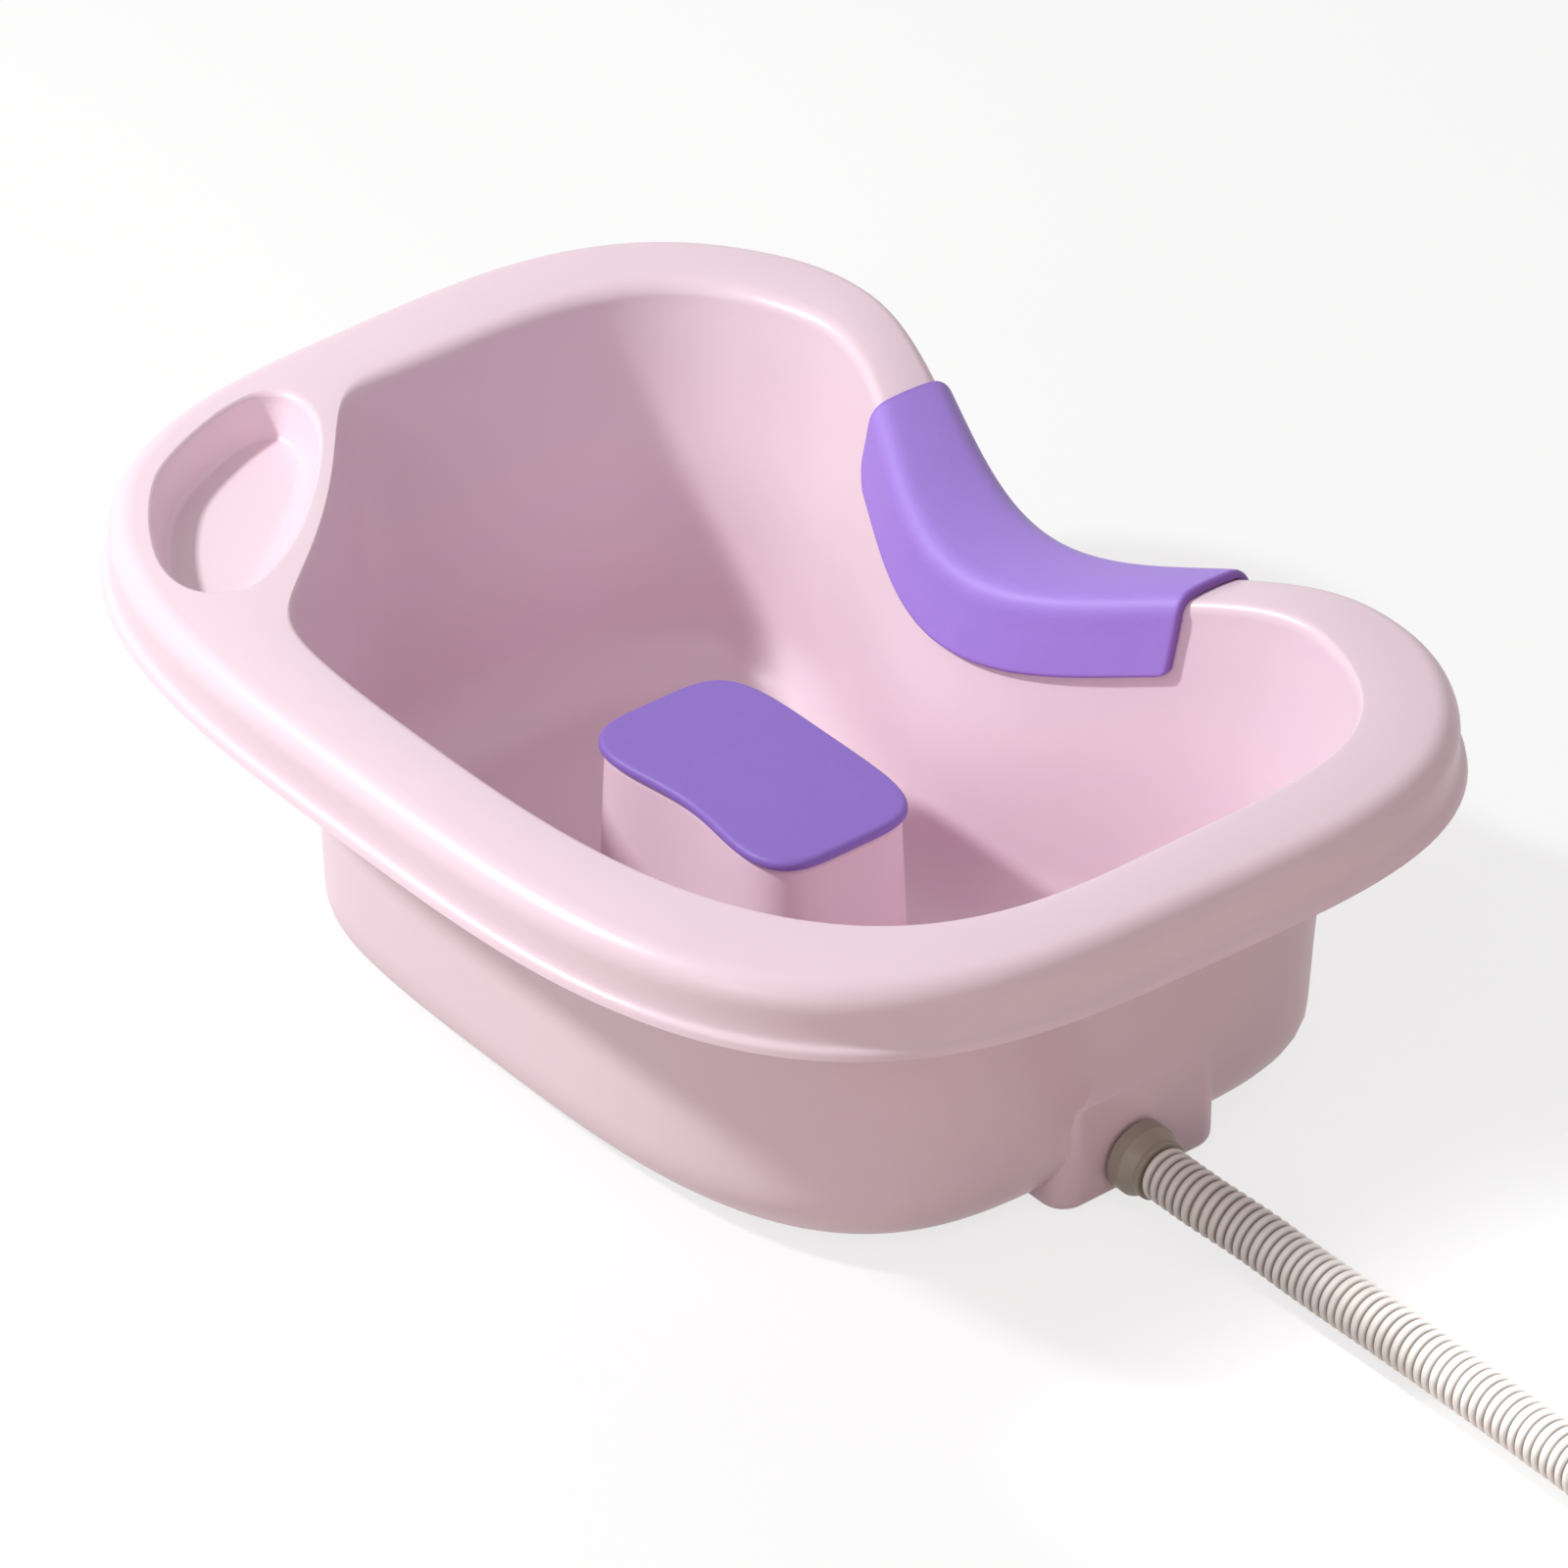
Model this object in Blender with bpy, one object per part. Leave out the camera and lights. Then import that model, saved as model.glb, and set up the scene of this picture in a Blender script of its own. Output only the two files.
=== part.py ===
"""Portable shampoo basin: a moulded tub with a neck notch, a side tray, a head rest and a drain hose."""

import math
from collections import namedtuple

import bmesh
import bpy
import numpy as np
from mathutils import Vector

# Plan directions: +X along the tub towards its hose end, +Y towards the neck notch, +Z up.
# Every length is in metres.

# Overall size of the moulding
BASIN_LENGTH = 0.5924
BASIN_WIDTH = 0.446
BASIN_HEIGHT = 0.192
WALL = 0.003
GAP = 0.0003
SOFT_GAP = 0.0006
OVERRUN = 0.010
FOOT_PROUD = 0.0015

# Rim: its width at the ends and sides, its rounded shoulders and its turned-down lip
RIM_WIDTH_END = 0.0427
RIM_WIDTH_SIDE = 0.0445
OPENING_LEFT = 0.0045
OPENING_BACK = 0.0025
RIM_INNER_RADIUS = 0.008
RIM_SHOULDER_INSET = 0.0160
RIM_SHOULDER_DROP = 0.0120
RIM_FACE_INSET = 0.0040
RIM_FACE_DROP = 0.0245
RIM_FACE_LOW_INSET = 0.0038
LIP_FLARE_DROP = 0.0280
LIP_FLARE_INSET = 0.0010
LIP_DROP = 0.0314
CROWN_FALL = 0.0006
CROWN_SHARE = 0.46

# Tub wall: how far it draws in from the rim to its foot, and the rounding into the floor
TUB_DRAFT_END = 0.0315
TUB_DRAFT_SIDE = 0.0275
TUB_FOOT_LEFT = 0.0010
TUB_DRAFT_CORNER = 0.006
TUB_FILLET = 0.034
WALL_TOP_SHARE = 0.235
WALL_STATION_SHARES = ((0.0, 1.0), (0.42, 0.87), (0.74, 0.53))
FILLET_TURN_SHARES = (0.0, 0.36, 0.70)
SHOULDER_TURN_SHARES = (1.0, 0.7, 0.35)

# Powers of the rounded plan outlines, larger for squarer corners
LIP_FRONT_POWER = 3.15
LIP_BACK_LEFT_POWER = 3.19
LIP_BACK_RIGHT_POWER = 3.66
EDGE_FRONT_POWER = 2.75
EDGE_BACK_POWER = 4.5
FOOT_FRONT_POWER = 3.2
FOOT_BACK_LEFT_POWER = 4.3
FOOT_BACK_RIGHT_POWER = 7.5
CORNER_POWER = 24.0

# The lip is a little longer at the notch side than at the front
LIP_WIDENING_SHARE = 0.025

# Neck notch in the back side
LIP_LEFT = 0.0069
LIP_BACK = 0.0041
LIP_NOTCH_DEPTH = 0.0564
LIP_NOTCH_REACH = 0.2276
EDGE_NOTCH_DEPTH = 0.061
EDGE_NOTCH_REACH = 0.176
FOOT_NOTCH_DEPTH = 0.054
FOOT_NOTCH_REACH = 0.172
NECK_DIP = 0.0342
NECK_DIP_REACH = 0.170

# The left front corner is cut across to make room for the tray
CORNER_DIRECTION = math.radians(225)
CORNER_REACH = 0.194
CORNER_BULGE_SHARE = 0.23
CORNER_SLANT_SHARE = -0.25

# Tray pocket, along the diagonal: its middle lies outwards and to the left of it
TRAY_OUT = 0.2370
TRAY_LEFT = 0.0655
TRAY_HALF_WIDTH = 0.0335
TRAY_HALF_LENGTH = 0.080
TRAY_DEPTH = 0.0210
TRAY_DRAFT = 0.0070
TRAY_FLOOR_RADIUS = 0.005
TRAY_OUTLINE_SHARES = (
    (0.00, 1.00), (-0.42, 0.98), (-0.82, 0.72), (-1.00, 0.22),
    (-0.95, -0.42), (-0.62, -0.88), (-0.20, -1.00), (0.24, -0.96),
    (0.62, -0.76), (0.88, -0.42), (1.00, -0.06), (0.96, 0.22),
    (0.70, 0.56), (0.36, 0.84),
)

# Drain block at the foot of the hose end, its face set in from the lip
BLOCK_INSET = 0.0706
BLOCK_FACE = BASIN_LENGTH / 2 - BLOCK_INSET
BLOCK_MIDDLE = 0.0270
BLOCK_HALF_WIDTH = 0.0460
BLOCK_DEPTH = 0.047
BLOCK_TOP = 0.0425
BLOCK_CORNER = 0.013
BLOCK_EDGE = 0.005
BLOCK_POCKET_TOP = 0.034

# Outlet through the block's wall
OUTLET_HEIGHT = 0.0192
OUTLET_MIDDLE = 0.0215
TAIL_RADIUS = 0.0087
TAIL_BORE = 0.0070
TAIL_LENGTH = 0.022
FLANGE_RADIUS = 0.0130
FLANGE_THICKNESS = 0.0025
GASKET_THICKNESS = 0.0015
INNER_GASKET_RADIUS = 0.0120
OUTER_GASKET_RADIUS = 0.0142
COLLAR_RADIUS = 0.0165
COLLAR_BAND = 0.0070
COLLAR_LENGTH = 0.0160
COLLAR_END_RADIUS = 0.0134
COLLAR_EDGE = 0.0008
STOPPER_PLUG_LENGTH = 0.012
STOPPER_TAPER = 0.0008
STOPPER_CAP_RADIUS = 0.0100
STOPPER_CAP_THICKNESS = 0.0025
STOPPER_GRIP_LENGTH = 0.012
STOPPER_GRIP_RADIUS = 0.0045
STOPPER_KNOB_RADIUS = 0.0062
STOPPER_KNOB_LENGTH = 0.004

# Drain hose: a ribbed tube on the floor
HOSE_RADIUS = 0.0124
HOSE_VALLEY_SHARE = 0.88
HOSE_BORE_RADIUS = 0.0098
HOSE_PITCH = 0.0047
HOSE_BORE_STEP = 0.020
HOSE_STEPS = 40
HOSE_ROUTE_FROM_BLOCK = (
    (0.0744, 0.0258, 0.0158), (0.1044, 0.0278, 0.0132), (0.1354, 0.0287, 0.0127), (0.1744, 0.0292, 0.0127),
    (0.2144, 0.0292, 0.0127), (0.2584, 0.0285, 0.0127), (0.3094, 0.0285, 0.0127), (0.3594, 0.0380, 0.0127),
    (0.4004, 0.0680, 0.0127), (0.4224, 0.1150, 0.0127), (0.4184, 0.1650, 0.0127), (0.3884, 0.2060, 0.0127),
    (0.3404, 0.2260, 0.0127), (0.2884, 0.2200, 0.0127), (0.2484, 0.1900, 0.0127), (0.2284, 0.1460, 0.0127),
)
HOSE_END_TURN = math.radians(255)

# Neck cushion over the notch
CUSHION_HALF_LENGTH = 0.103
CUSHION_THICKNESS = 0.0040
CUSHION_SKIRT = 0.035
CUSHION_FACE_SHARE = 0.25
CUSHION_CORNER_DROP = 0.006
CUSHION_CORNER_POWER = 9.0
CUSHION_EDGE_SHARES = (0.60, 0.92)
CUSHION_STATIONS = 21
CUSHION_SKIRT_POINTS = 6

# Head rest in the middle of the tub
REST_TOP = 0.105
REST_HALF_LENGTH = 0.070
REST_HALF_WIDTH = 0.044
REST_LEFT = 0.0025
REST_FRONT = 0.001
REST_POWER = 4.5
REST_DENT = 0.0065
REST_DENT_REACH = 0.060
PAD_THICKNESS = 0.0060
PAD_CROWN = 0.0006
PAD_EDGE = 0.0022
PEDESTAL_INSET = 0.0022
PEDESTAL_EDGE = 0.0020
PEDESTAL_DRAFT = 0.0035
PEDESTAL_FLOOR_GAP = 0.0009
POST_RADIUS = 0.0075
POST_PLACE_SHARES = ((-0.62, -0.36), (0.62, -0.36), (-0.62, 0.44), (0.62, 0.44))
CUP_RADIUS = 0.0135
CUP_HEIGHT = 0.0090
CUP_STEM_RADIUS = 0.0026
CUP_STEM_LENGTH = 0.0070
CUP_INSIDE_SHARES = ((0.25, 0.25), (0.70, 0.17))
CUP_OUTSIDE_SHARES = ((0.72, 0.42), (0.33, 0.62), (0.33, 1.0))

# Anti-slip pads set into the underside
FOOT_RADIUS = 0.011
FOOT_RECESS = 0.0010
FOOT_PLACE_SHARES = ((-0.375, -0.275), (0.375, -0.275), (-0.375, 0.275), (0.375, 0.275))

# Counts of points
BASIN_POINTS = 76
TRAY_POINTS = 36
REST_POINTS = 40
ROUND_POINTS = 24
SMALL_ROUND_POINTS = 16
BLOCK_POINTS = 24
SMALLEST_SHARE = 1e-6
WELD = 1e-6
SHARP_ANGLE = math.radians(35)

# Colours in sRGB, 0 to 255
PINK = (238, 214, 226)
PURPLE = (139, 108, 214)
COLLAR_BEIGE = (168, 158, 136)
HOSE_WHITE = (222, 219, 216)
RUBBER_WHITE = (226, 224, 220)
RUBBER_GREY = (120, 120, 122)
CLEAR_GREY = (205, 208, 214)

FLOOR_HEIGHT = FOOT_PROUD + WALL
FULL_TURN = 2 * math.pi
ANGLES = np.arange(BASIN_POINTS) * FULL_TURN / BASIN_POINTS
BACK_SIDE = np.sin(ANGLES) > 0

Outline = namedtuple(
    "Outline",
    "half_length half_width front_power back_left_power back_right_power"
    " notch_depth notch_reach corner_reach left back widening_share",
)
LIP = Outline(
    BASIN_LENGTH / 2, BASIN_WIDTH / 2, LIP_FRONT_POWER, LIP_BACK_LEFT_POWER, LIP_BACK_RIGHT_POWER,
    LIP_NOTCH_DEPTH, LIP_NOTCH_REACH, BASIN_LENGTH, LIP_LEFT, LIP_BACK, LIP_WIDENING_SHARE,
)
EDGE = Outline(
    BASIN_LENGTH / 2 - RIM_WIDTH_END, BASIN_WIDTH / 2 - RIM_WIDTH_SIDE,
    EDGE_FRONT_POWER, EDGE_BACK_POWER, EDGE_BACK_POWER,
    EDGE_NOTCH_DEPTH, EDGE_NOTCH_REACH, CORNER_REACH, OPENING_LEFT, OPENING_BACK, 0,
)
FOOT = Outline(
    EDGE.half_length - TUB_DRAFT_END, EDGE.half_width - TUB_DRAFT_SIDE,
    FOOT_FRONT_POWER, FOOT_BACK_LEFT_POWER, FOOT_BACK_RIGHT_POWER,
    FOOT_NOTCH_DEPTH, FOOT_NOTCH_REACH, CORNER_REACH - TUB_DRAFT_CORNER, TUB_FOOT_LEFT, 0, 0,
)


# Shapes in plan

def hump(along, reach):
    """A raised cosine: 1 in the middle, falling smoothly to 0 at the reach on either side."""
    inside = np.clip(np.asarray(along) / reach, -1, 1)
    return (1 + np.cos(math.pi * inside)) / 2


def blend(first, second, share):
    """The outline that lies a share of the way from the first to the second."""
    return Outline(*(a + (b - a) * share for a, b in zip(first, second)))


def drawn_in(outline, distance):
    """The outline moved inwards by a distance."""
    return outline._replace(
        half_length=outline.half_length - distance,
        half_width=outline.half_width - distance,
        corner_reach=outline.corner_reach - distance,
    )


def plan_ring(outline):
    """A rounded outline as plan points at even angles, cut across its corner and notched at the back."""
    back_power = np.where(np.cos(ANGLES) < 0, outline.back_left_power, outline.back_right_power)
    power = np.where(BACK_SIDE, back_power, outline.front_power)
    along = np.abs(np.cos(ANGLES) / outline.half_length) ** power
    across = np.abs(np.sin(ANGLES) / outline.half_width) ** power
    tub_radius = (along + across) ** (-1 / power)
    facing = np.maximum(np.cos(ANGLES - CORNER_DIRECTION), SMALLEST_SHARE)
    slant = np.sin(ANGLES - CORNER_DIRECTION) / facing - CORNER_SLANT_SHARE
    corner_reach = outline.corner_reach * (1 + CORNER_BULGE_SHARE * slant**2)
    nearness = (tub_radius * facing / corner_reach) ** CORNER_POWER
    radius = tub_radius * (1 + nearness) ** (-1 / CORNER_POWER)
    y = radius * np.sin(ANGLES)
    widening = 1 + outline.widening_share * y / outline.half_width
    x = radius * np.cos(ANGLES) * widening - outline.left
    notch = np.where(BACK_SIDE, outline.notch_depth * hump(x, outline.notch_reach), 0)
    return np.stack([x, y + outline.back - notch], axis=1)


def raised(plan, height, dip_share=1.0):
    """Plan points at a height, lowered over the neck notch by a share of the rim's dip."""
    dip = np.where(BACK_SIDE, NECK_DIP * hump(plan[:, 0], NECK_DIP_REACH), 0)
    return np.column_stack([plan, height - dip * dip_share])


def wall_rings(grown=0.0):
    """The inside of the tub, from its flat floor up to where the rim rounds over, grown into its wall."""
    foot_height = FLOOR_HEIGHT + TUB_FILLET
    top_height = BASIN_HEIGHT - CROWN_FALL - RIM_INNER_RADIUS
    radius = TUB_FILLET + grown
    rings = []
    for turn_share in FILLET_TURN_SHARES:
        turn = turn_share * math.pi / 2
        plan = plan_ring(drawn_in(FOOT, radius * (1 - math.sin(turn)) - grown))
        rings.append(raised(plan, foot_height - radius * math.cos(turn), 0.0))
    stations = (*WALL_STATION_SHARES, (1.0, WALL_TOP_SHARE))
    for height_share, draft_share in stations:
        height = foot_height + (top_height - foot_height) * height_share
        plan = plan_ring(drawn_in(blend(EDGE, FOOT, draft_share), -grown))
        rings.append(raised(plan, height, height_share))
    return rings


def rim_rings():
    """The rim, from its inner rounding over the crown and down the outer face to the lip."""
    edge_height = BASIN_HEIGHT - CROWN_FALL
    edge = plan_ring(EDGE)
    lip = plan_ring(LIP)
    outwards = lip - edge
    middle = edge + outwards * CROWN_SHARE
    outwards /= np.linalg.norm(outwards, axis=1)[:, None]
    turn = math.pi / 4
    rounding = plan_ring(blend(EDGE, FOOT, WALL_TOP_SHARE * math.cos(turn)))
    rings = [
        raised(rounding, edge_height - RIM_INNER_RADIUS * (1 - math.sin(turn))),
        raised(edge, edge_height),
        raised(middle, BASIN_HEIGHT),
    ]
    shoulder_run = RIM_SHOULDER_INSET - RIM_FACE_INSET
    for turn_share in SHOULDER_TURN_SHARES:
        turn = turn_share * math.pi / 2
        inset = RIM_SHOULDER_INSET - shoulder_run * math.cos(turn)
        drop = RIM_SHOULDER_DROP * (1 - math.sin(turn))
        rings.append(raised(lip - outwards * inset, edge_height - drop))
    rings.append(raised(lip - outwards * RIM_FACE_INSET, edge_height - RIM_SHOULDER_DROP))
    rings.append(raised(lip - outwards * RIM_FACE_LOW_INSET, edge_height - RIM_FACE_DROP))
    rings.append(raised(lip - outwards * LIP_FLARE_INSET, edge_height - LIP_FLARE_DROP))
    rings.append(raised(lip, edge_height - LIP_DROP))
    return rings


# Mesh helpers

def linear(colour):
    """An sRGB colour as the linear values that a shader reads."""
    return [((c / 255 + 0.055) / 1.055) ** 2.4 if c > 10 else c / 255 / 12.92 for c in colour]


def material(name, colour, roughness, alpha=1.0):
    made = bpy.data.materials.new(name)
    made.use_nodes = True
    shader = made.node_tree.nodes["Principled BSDF"]
    shader.inputs["Base Color"].default_value = (*linear(colour), 1.0)
    shader.inputs["Roughness"].default_value = roughness
    shader.inputs["Metallic"].default_value = 0.0
    shader.inputs["Alpha"].default_value = alpha
    return made


def make_object(name, bm, finish=None, origin=(0, 0, 0), parent=None):
    """Turns the bmesh into an object whose origin lies at the given point of the basin's frame."""
    bmesh.ops.translate(bm, verts=bm.verts, vec=-Vector(origin))
    mesh = bpy.data.meshes.new(name)
    bm.to_mesh(mesh)
    bm.free()
    mesh.shade_smooth()
    mesh.set_sharp_from_angle(angle=SHARP_ANGLE)
    made = bpy.data.objects.new(name, mesh)
    bpy.context.scene.collection.objects.link(made)
    made.location = origin
    made.parent = parent
    if finish:
        mesh.materials.append(finish)
    return made


def loft(rings, looped=False, capped=True):
    """A skin over rings of equal count. Looped joins the last ring to the first, capped closes both ends."""
    bm = bmesh.new()
    rows = [[bm.verts.new(point) for point in ring] for ring in rings]
    pairs = list(zip(rows, rows[1:]))
    if looped:
        pairs.append((rows[-1], rows[0]))
    for low, high in pairs:
        for i in range(len(low)):
            j = (i + 1) % len(low)
            bm.faces.new((low[i], high[i], high[j], low[j]))
    if capped and not looped:
        bm.faces.new(rows[0])
        bm.faces.new(rows[-1][::-1])
    if capped or looped:
        bmesh.ops.recalc_face_normals(bm, faces=bm.faces)
    return bm


def circle(radius, along, points, axis="Z", centre=(0, 0, 0)):
    """A ring of points round an axis through the centre, at a distance along that axis."""
    turn = np.arange(points) * FULL_TURN / points
    first, second, third = radius * np.cos(turn), radius * np.sin(turn), np.full(points, along)
    columns = (first, second, third) if axis == "Z" else (third, first, second)
    return np.column_stack(columns) + np.array(centre)


def turned(profile, points, axis="Z", centre=(0, 0, 0), looped=False):
    """A solid turned from (radius, distance along the axis) pairs."""
    return loft([circle(r, along, points, axis, centre) for r, along in profile], looped=looped)


def helper(name, bm, parent):
    """A tool body for a Boolean, left out of the model."""
    made = make_object(name, bm, parent=parent)
    made.hide_render = True
    made.display_type = "WIRE"
    return made


def combine(target, tool, operation):
    step = target.modifiers.new(tool.name, "BOOLEAN")
    step.operation = operation
    step.solver = "EXACT"
    step.object = tool


def empty(name, location, parent):
    made = bpy.data.objects.new(name, None)
    bpy.context.scene.collection.objects.link(made)
    made.location = location
    made.parent = parent
    return made


# Basin shell

def tray_ring(height, grown):
    """The tray pocket's outline at a height, grown outwards by a distance."""
    control = np.array(TRAY_OUTLINE_SHARES)
    places = np.arange(TRAY_POINTS) * len(control) / TRAY_POINTS
    smooth = smooth_loop(control, places)
    half = np.array([TRAY_HALF_WIDTH + grown, TRAY_HALF_LENGTH + grown])
    out = TRAY_OUT + smooth[:, 0] * half[0]
    left = TRAY_LEFT + smooth[:, 1] * half[1]
    cosine, sine = math.cos(CORNER_DIRECTION), math.sin(CORNER_DIRECTION)
    x = out * cosine + left * sine
    y = out * sine - left * cosine
    return np.column_stack([x, y, np.full(TRAY_POINTS, height)])


def smooth_loop(control, places):
    """Points on the smooth closed curve through the control points, at places counted in control points."""
    start = np.floor(places).astype(int)
    share = (places - start)[:, None]
    before, here, after, beyond = (control[(start + k) % len(control)] for k in (-1, 0, 1, 2))
    return smooth_step(before, here, after, beyond, share)


def smooth_step(before, here, after, beyond, share):
    """The Catmull-Rom curve between two points, with the points before and beyond them."""
    return 0.5 * (
        2 * here
        + (after - before) * share
        + (2 * before - 5 * here + 4 * after - beyond) * share**2
        + (3 * here - before - 3 * after + beyond) * share**3
    )


def tray_body(grown, top):
    """The solid inside the tray pocket's outline: as the pocket itself, or grown by the wall as its cup."""
    floor = BASIN_HEIGHT - TRAY_DEPTH - grown
    return loft([
        tray_ring(floor, grown - TRAY_DRAFT - TRAY_FLOOR_RADIUS),
        tray_ring(floor + TRAY_FLOOR_RADIUS / 3, grown - TRAY_DRAFT - TRAY_FLOOR_RADIUS / 3),
        tray_ring(floor + TRAY_FLOOR_RADIUS, grown - TRAY_DRAFT),
        tray_ring(BASIN_HEIGHT - WALL / 2, grown),
        tray_ring(top, grown),
    ])


def block_ring(height, drawn):
    """The drain block's rounded outline at a height, drawn in by a distance."""
    half_width = BLOCK_HALF_WIDTH - drawn
    half_depth = BLOCK_DEPTH / 2 - drawn
    corner = BLOCK_CORNER - min(drawn, BLOCK_CORNER / 2)
    quarter = BLOCK_POINTS // 4
    points = []
    for i in range(BLOCK_POINTS):
        side = i // quarter
        turn = (side + (i % quarter) / (quarter - 1)) * math.pi / 2
        right = 1 if side in (0, 3) else -1
        back = 1 if side in (0, 1) else -1
        x = BLOCK_FACE - BLOCK_DEPTH / 2 + right * (half_depth - corner) + corner * math.cos(turn)
        y = BLOCK_MIDDLE + back * (half_width - corner) + corner * math.sin(turn)
        points.append((x, y, height))
    return points


def block_body(drawn, low, high):
    """The drain block's solid between two heights, its lower and upper edges eased."""
    return loft([
        block_ring(low, drawn + BLOCK_EDGE),
        block_ring(low + BLOCK_EDGE / 3, drawn + BLOCK_EDGE / 3),
        block_ring(low + BLOCK_EDGE, drawn),
        block_ring(high - BLOCK_EDGE, drawn),
        block_ring(high, drawn + BLOCK_EDGE),
    ])


def block_pocket():
    """The space inside the drain block, open to the tub."""
    low = FLOOR_HEIGHT
    return loft([
        block_ring(low, WALL + BLOCK_EDGE / 2),
        block_ring(low + BLOCK_EDGE / 2, WALL),
        block_ring(BLOCK_POCKET_TOP, WALL),
    ])


def foot_places():
    return [(BASIN_LENGTH / 2 * x, BASIN_WIDTH / 2 * y) for x, y in FOOT_PLACE_SHARES]


def build_shell(frame, finish):
    """The tub, rim, tray and drain block as one moulding of even wall."""
    skin = loft(wall_rings() + rim_rings(), capped=False)
    skin.verts.ensure_lookup_table()
    skin.faces.new([skin.verts[i] for i in range(BASIN_POINTS)])
    shell = make_object("basin_shell", skin, finish, parent=frame)
    wall = shell.modifiers.new("Wall", "SOLIDIFY")
    wall.thickness = WALL
    wall.offset = -1
    wall.use_even_offset = True
    cup = helper("tray_cup", tray_body(WALL, BASIN_HEIGHT - WALL / 2), frame)
    block = helper("drain_block", block_body(0.0, FOOT_PROUD, BLOCK_TOP), frame)
    combine(block, helper("tub_space", loft(wall_rings(WALL / 2)), frame), "DIFFERENCE")
    pocket = helper("tray_pocket", tray_body(0.0, BASIN_HEIGHT + OVERRUN), frame)
    inner = helper("block_pocket", block_pocket(), frame)
    face = (0, OUTLET_MIDDLE, OUTLET_HEIGHT)
    bore_ends = (BLOCK_FACE - WALL - BLOCK_EDGE, BLOCK_FACE + OVERRUN)
    bore = turned([(TAIL_RADIUS + GAP, end) for end in bore_ends], ROUND_POINTS, "X", face)
    outlet = helper("outlet_bore", bore, frame)
    combine(shell, cup, "UNION")
    combine(shell, block, "UNION")
    for tool in (pocket, inner, outlet):
        combine(shell, tool, "DIFFERENCE")
    for number, (x, y) in enumerate(foot_places(), 1):
        ends = (FOOT_PROUD - OVERRUN, FOOT_PROUD + FOOT_RECESS + GAP)
        recess = turned([(FOOT_RADIUS + GAP, end) for end in ends], ROUND_POINTS, centre=(x, y, 0))
        combine(shell, helper(f"foot_recess_{number}", recess, frame), "DIFFERENCE")
    return shell


def build_feet(frame, finish):
    for number, (x, y) in enumerate(foot_places(), 1):
        edge = FOOT_PROUD / 3
        profile = [
            (FOOT_RADIUS - edge, 0), (FOOT_RADIUS, edge), (FOOT_RADIUS, FOOT_PROUD + FOOT_RECESS),
        ]
        pad = turned(profile, ROUND_POINTS, centre=(x, y, 0))
        make_object(f"foot_pad_{number}", pad, finish, origin=(x, y, 0), parent=frame)


# Neck cushion

def section_at(x, rings):
    """The tub's inside and rim cut across at x on the back side, as (y, z) points from the foot outwards."""
    back = [ring[BACK_SIDE] for ring in rings]
    return np.array([[np.interp(x, r[::-1, 0], r[::-1, k]) for k in (1, 2)] for r in back])


def cushion_seat():
    """A grid of points on the rim under the cushion: along the notch, then across from inside to outside."""
    wall = wall_rings()
    rim = rim_rings()[:-2]
    rim[-1] = rim[-2] + (rim[-1] - rim[-2]) * CUSHION_FACE_SHARE
    grid = []
    for x in np.linspace(-CUSHION_HALF_LENGTH, CUSHION_HALF_LENGTH, CUSHION_STATIONS):
        inside = section_at(x, wall)
        over = section_at(x, rim)
        rounding = CUSHION_CORNER_DROP * abs(x / CUSHION_HALF_LENGTH) ** CUSHION_CORNER_POWER
        skirt_height = over[:, 1].max() - CUSHION_SKIRT + rounding
        heights = np.linspace(skirt_height, inside[-1, 1], CUSHION_SKIRT_POINTS)
        hanging = np.column_stack([np.interp(heights, inside[:, 1], inside[:, 0]), heights])
        grid.append([(x, y, z) for y, z in np.vstack([hanging, over])])
    return np.array(grid)


def edge_fullness(count):
    """Shares of the full thickness along one direction: drawn in at both edges."""
    fullness = np.ones(count)
    for i, share in enumerate(CUSHION_EDGE_SHARES):
        fullness[i] = fullness[count - 1 - i] = share
    return fullness


def build_cushion(frame, finish):
    """The soft saddle that hangs over the rim in the neck notch."""
    seat = cushion_seat()
    normals = np.cross(np.gradient(seat, axis=0), np.gradient(seat, axis=1))
    normals /= np.linalg.norm(normals, axis=2)[:, :, None]
    across = seat.shape[1]
    fullness = np.minimum.outer(edge_fullness(CUSHION_STATIONS), edge_fullness(across))
    under = seat + normals * SOFT_GAP
    over = under + normals * (CUSHION_THICKNESS * fullness)[:, :, None]
    bm = bmesh.new()
    low, high = ([[bm.verts.new(p) for p in row] for row in grid] for grid in (under, over))
    for i in range(CUSHION_STATIONS - 1):
        for k in range(across - 1):
            for sheet in (low, high):
                bm.faces.new((sheet[i][k], sheet[i + 1][k], sheet[i + 1][k + 1], sheet[i][k + 1]))
    for i in range(CUSHION_STATIONS - 1):
        for k in (0, across - 1):
            bm.faces.new((low[i][k], low[i + 1][k], high[i + 1][k], high[i][k]))
    for k in range(across - 1):
        for i in (0, CUSHION_STATIONS - 1):
            bm.faces.new((low[i][k], low[i][k + 1], high[i][k + 1], high[i][k]))
    bmesh.ops.recalc_face_normals(bm, faces=bm.faces)
    middle = (0, BASIN_WIDTH / 2 + LIP_BACK - LIP_NOTCH_DEPTH, BASIN_HEIGHT - NECK_DIP)
    lift = empty("neck_cushion_lift", middle, frame)
    cushion = make_object("neck_cushion", bm, finish, origin=middle, parent=frame)
    cushion.parent = lift
    cushion.location = (0, 0, 0)


# Head rest

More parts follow.
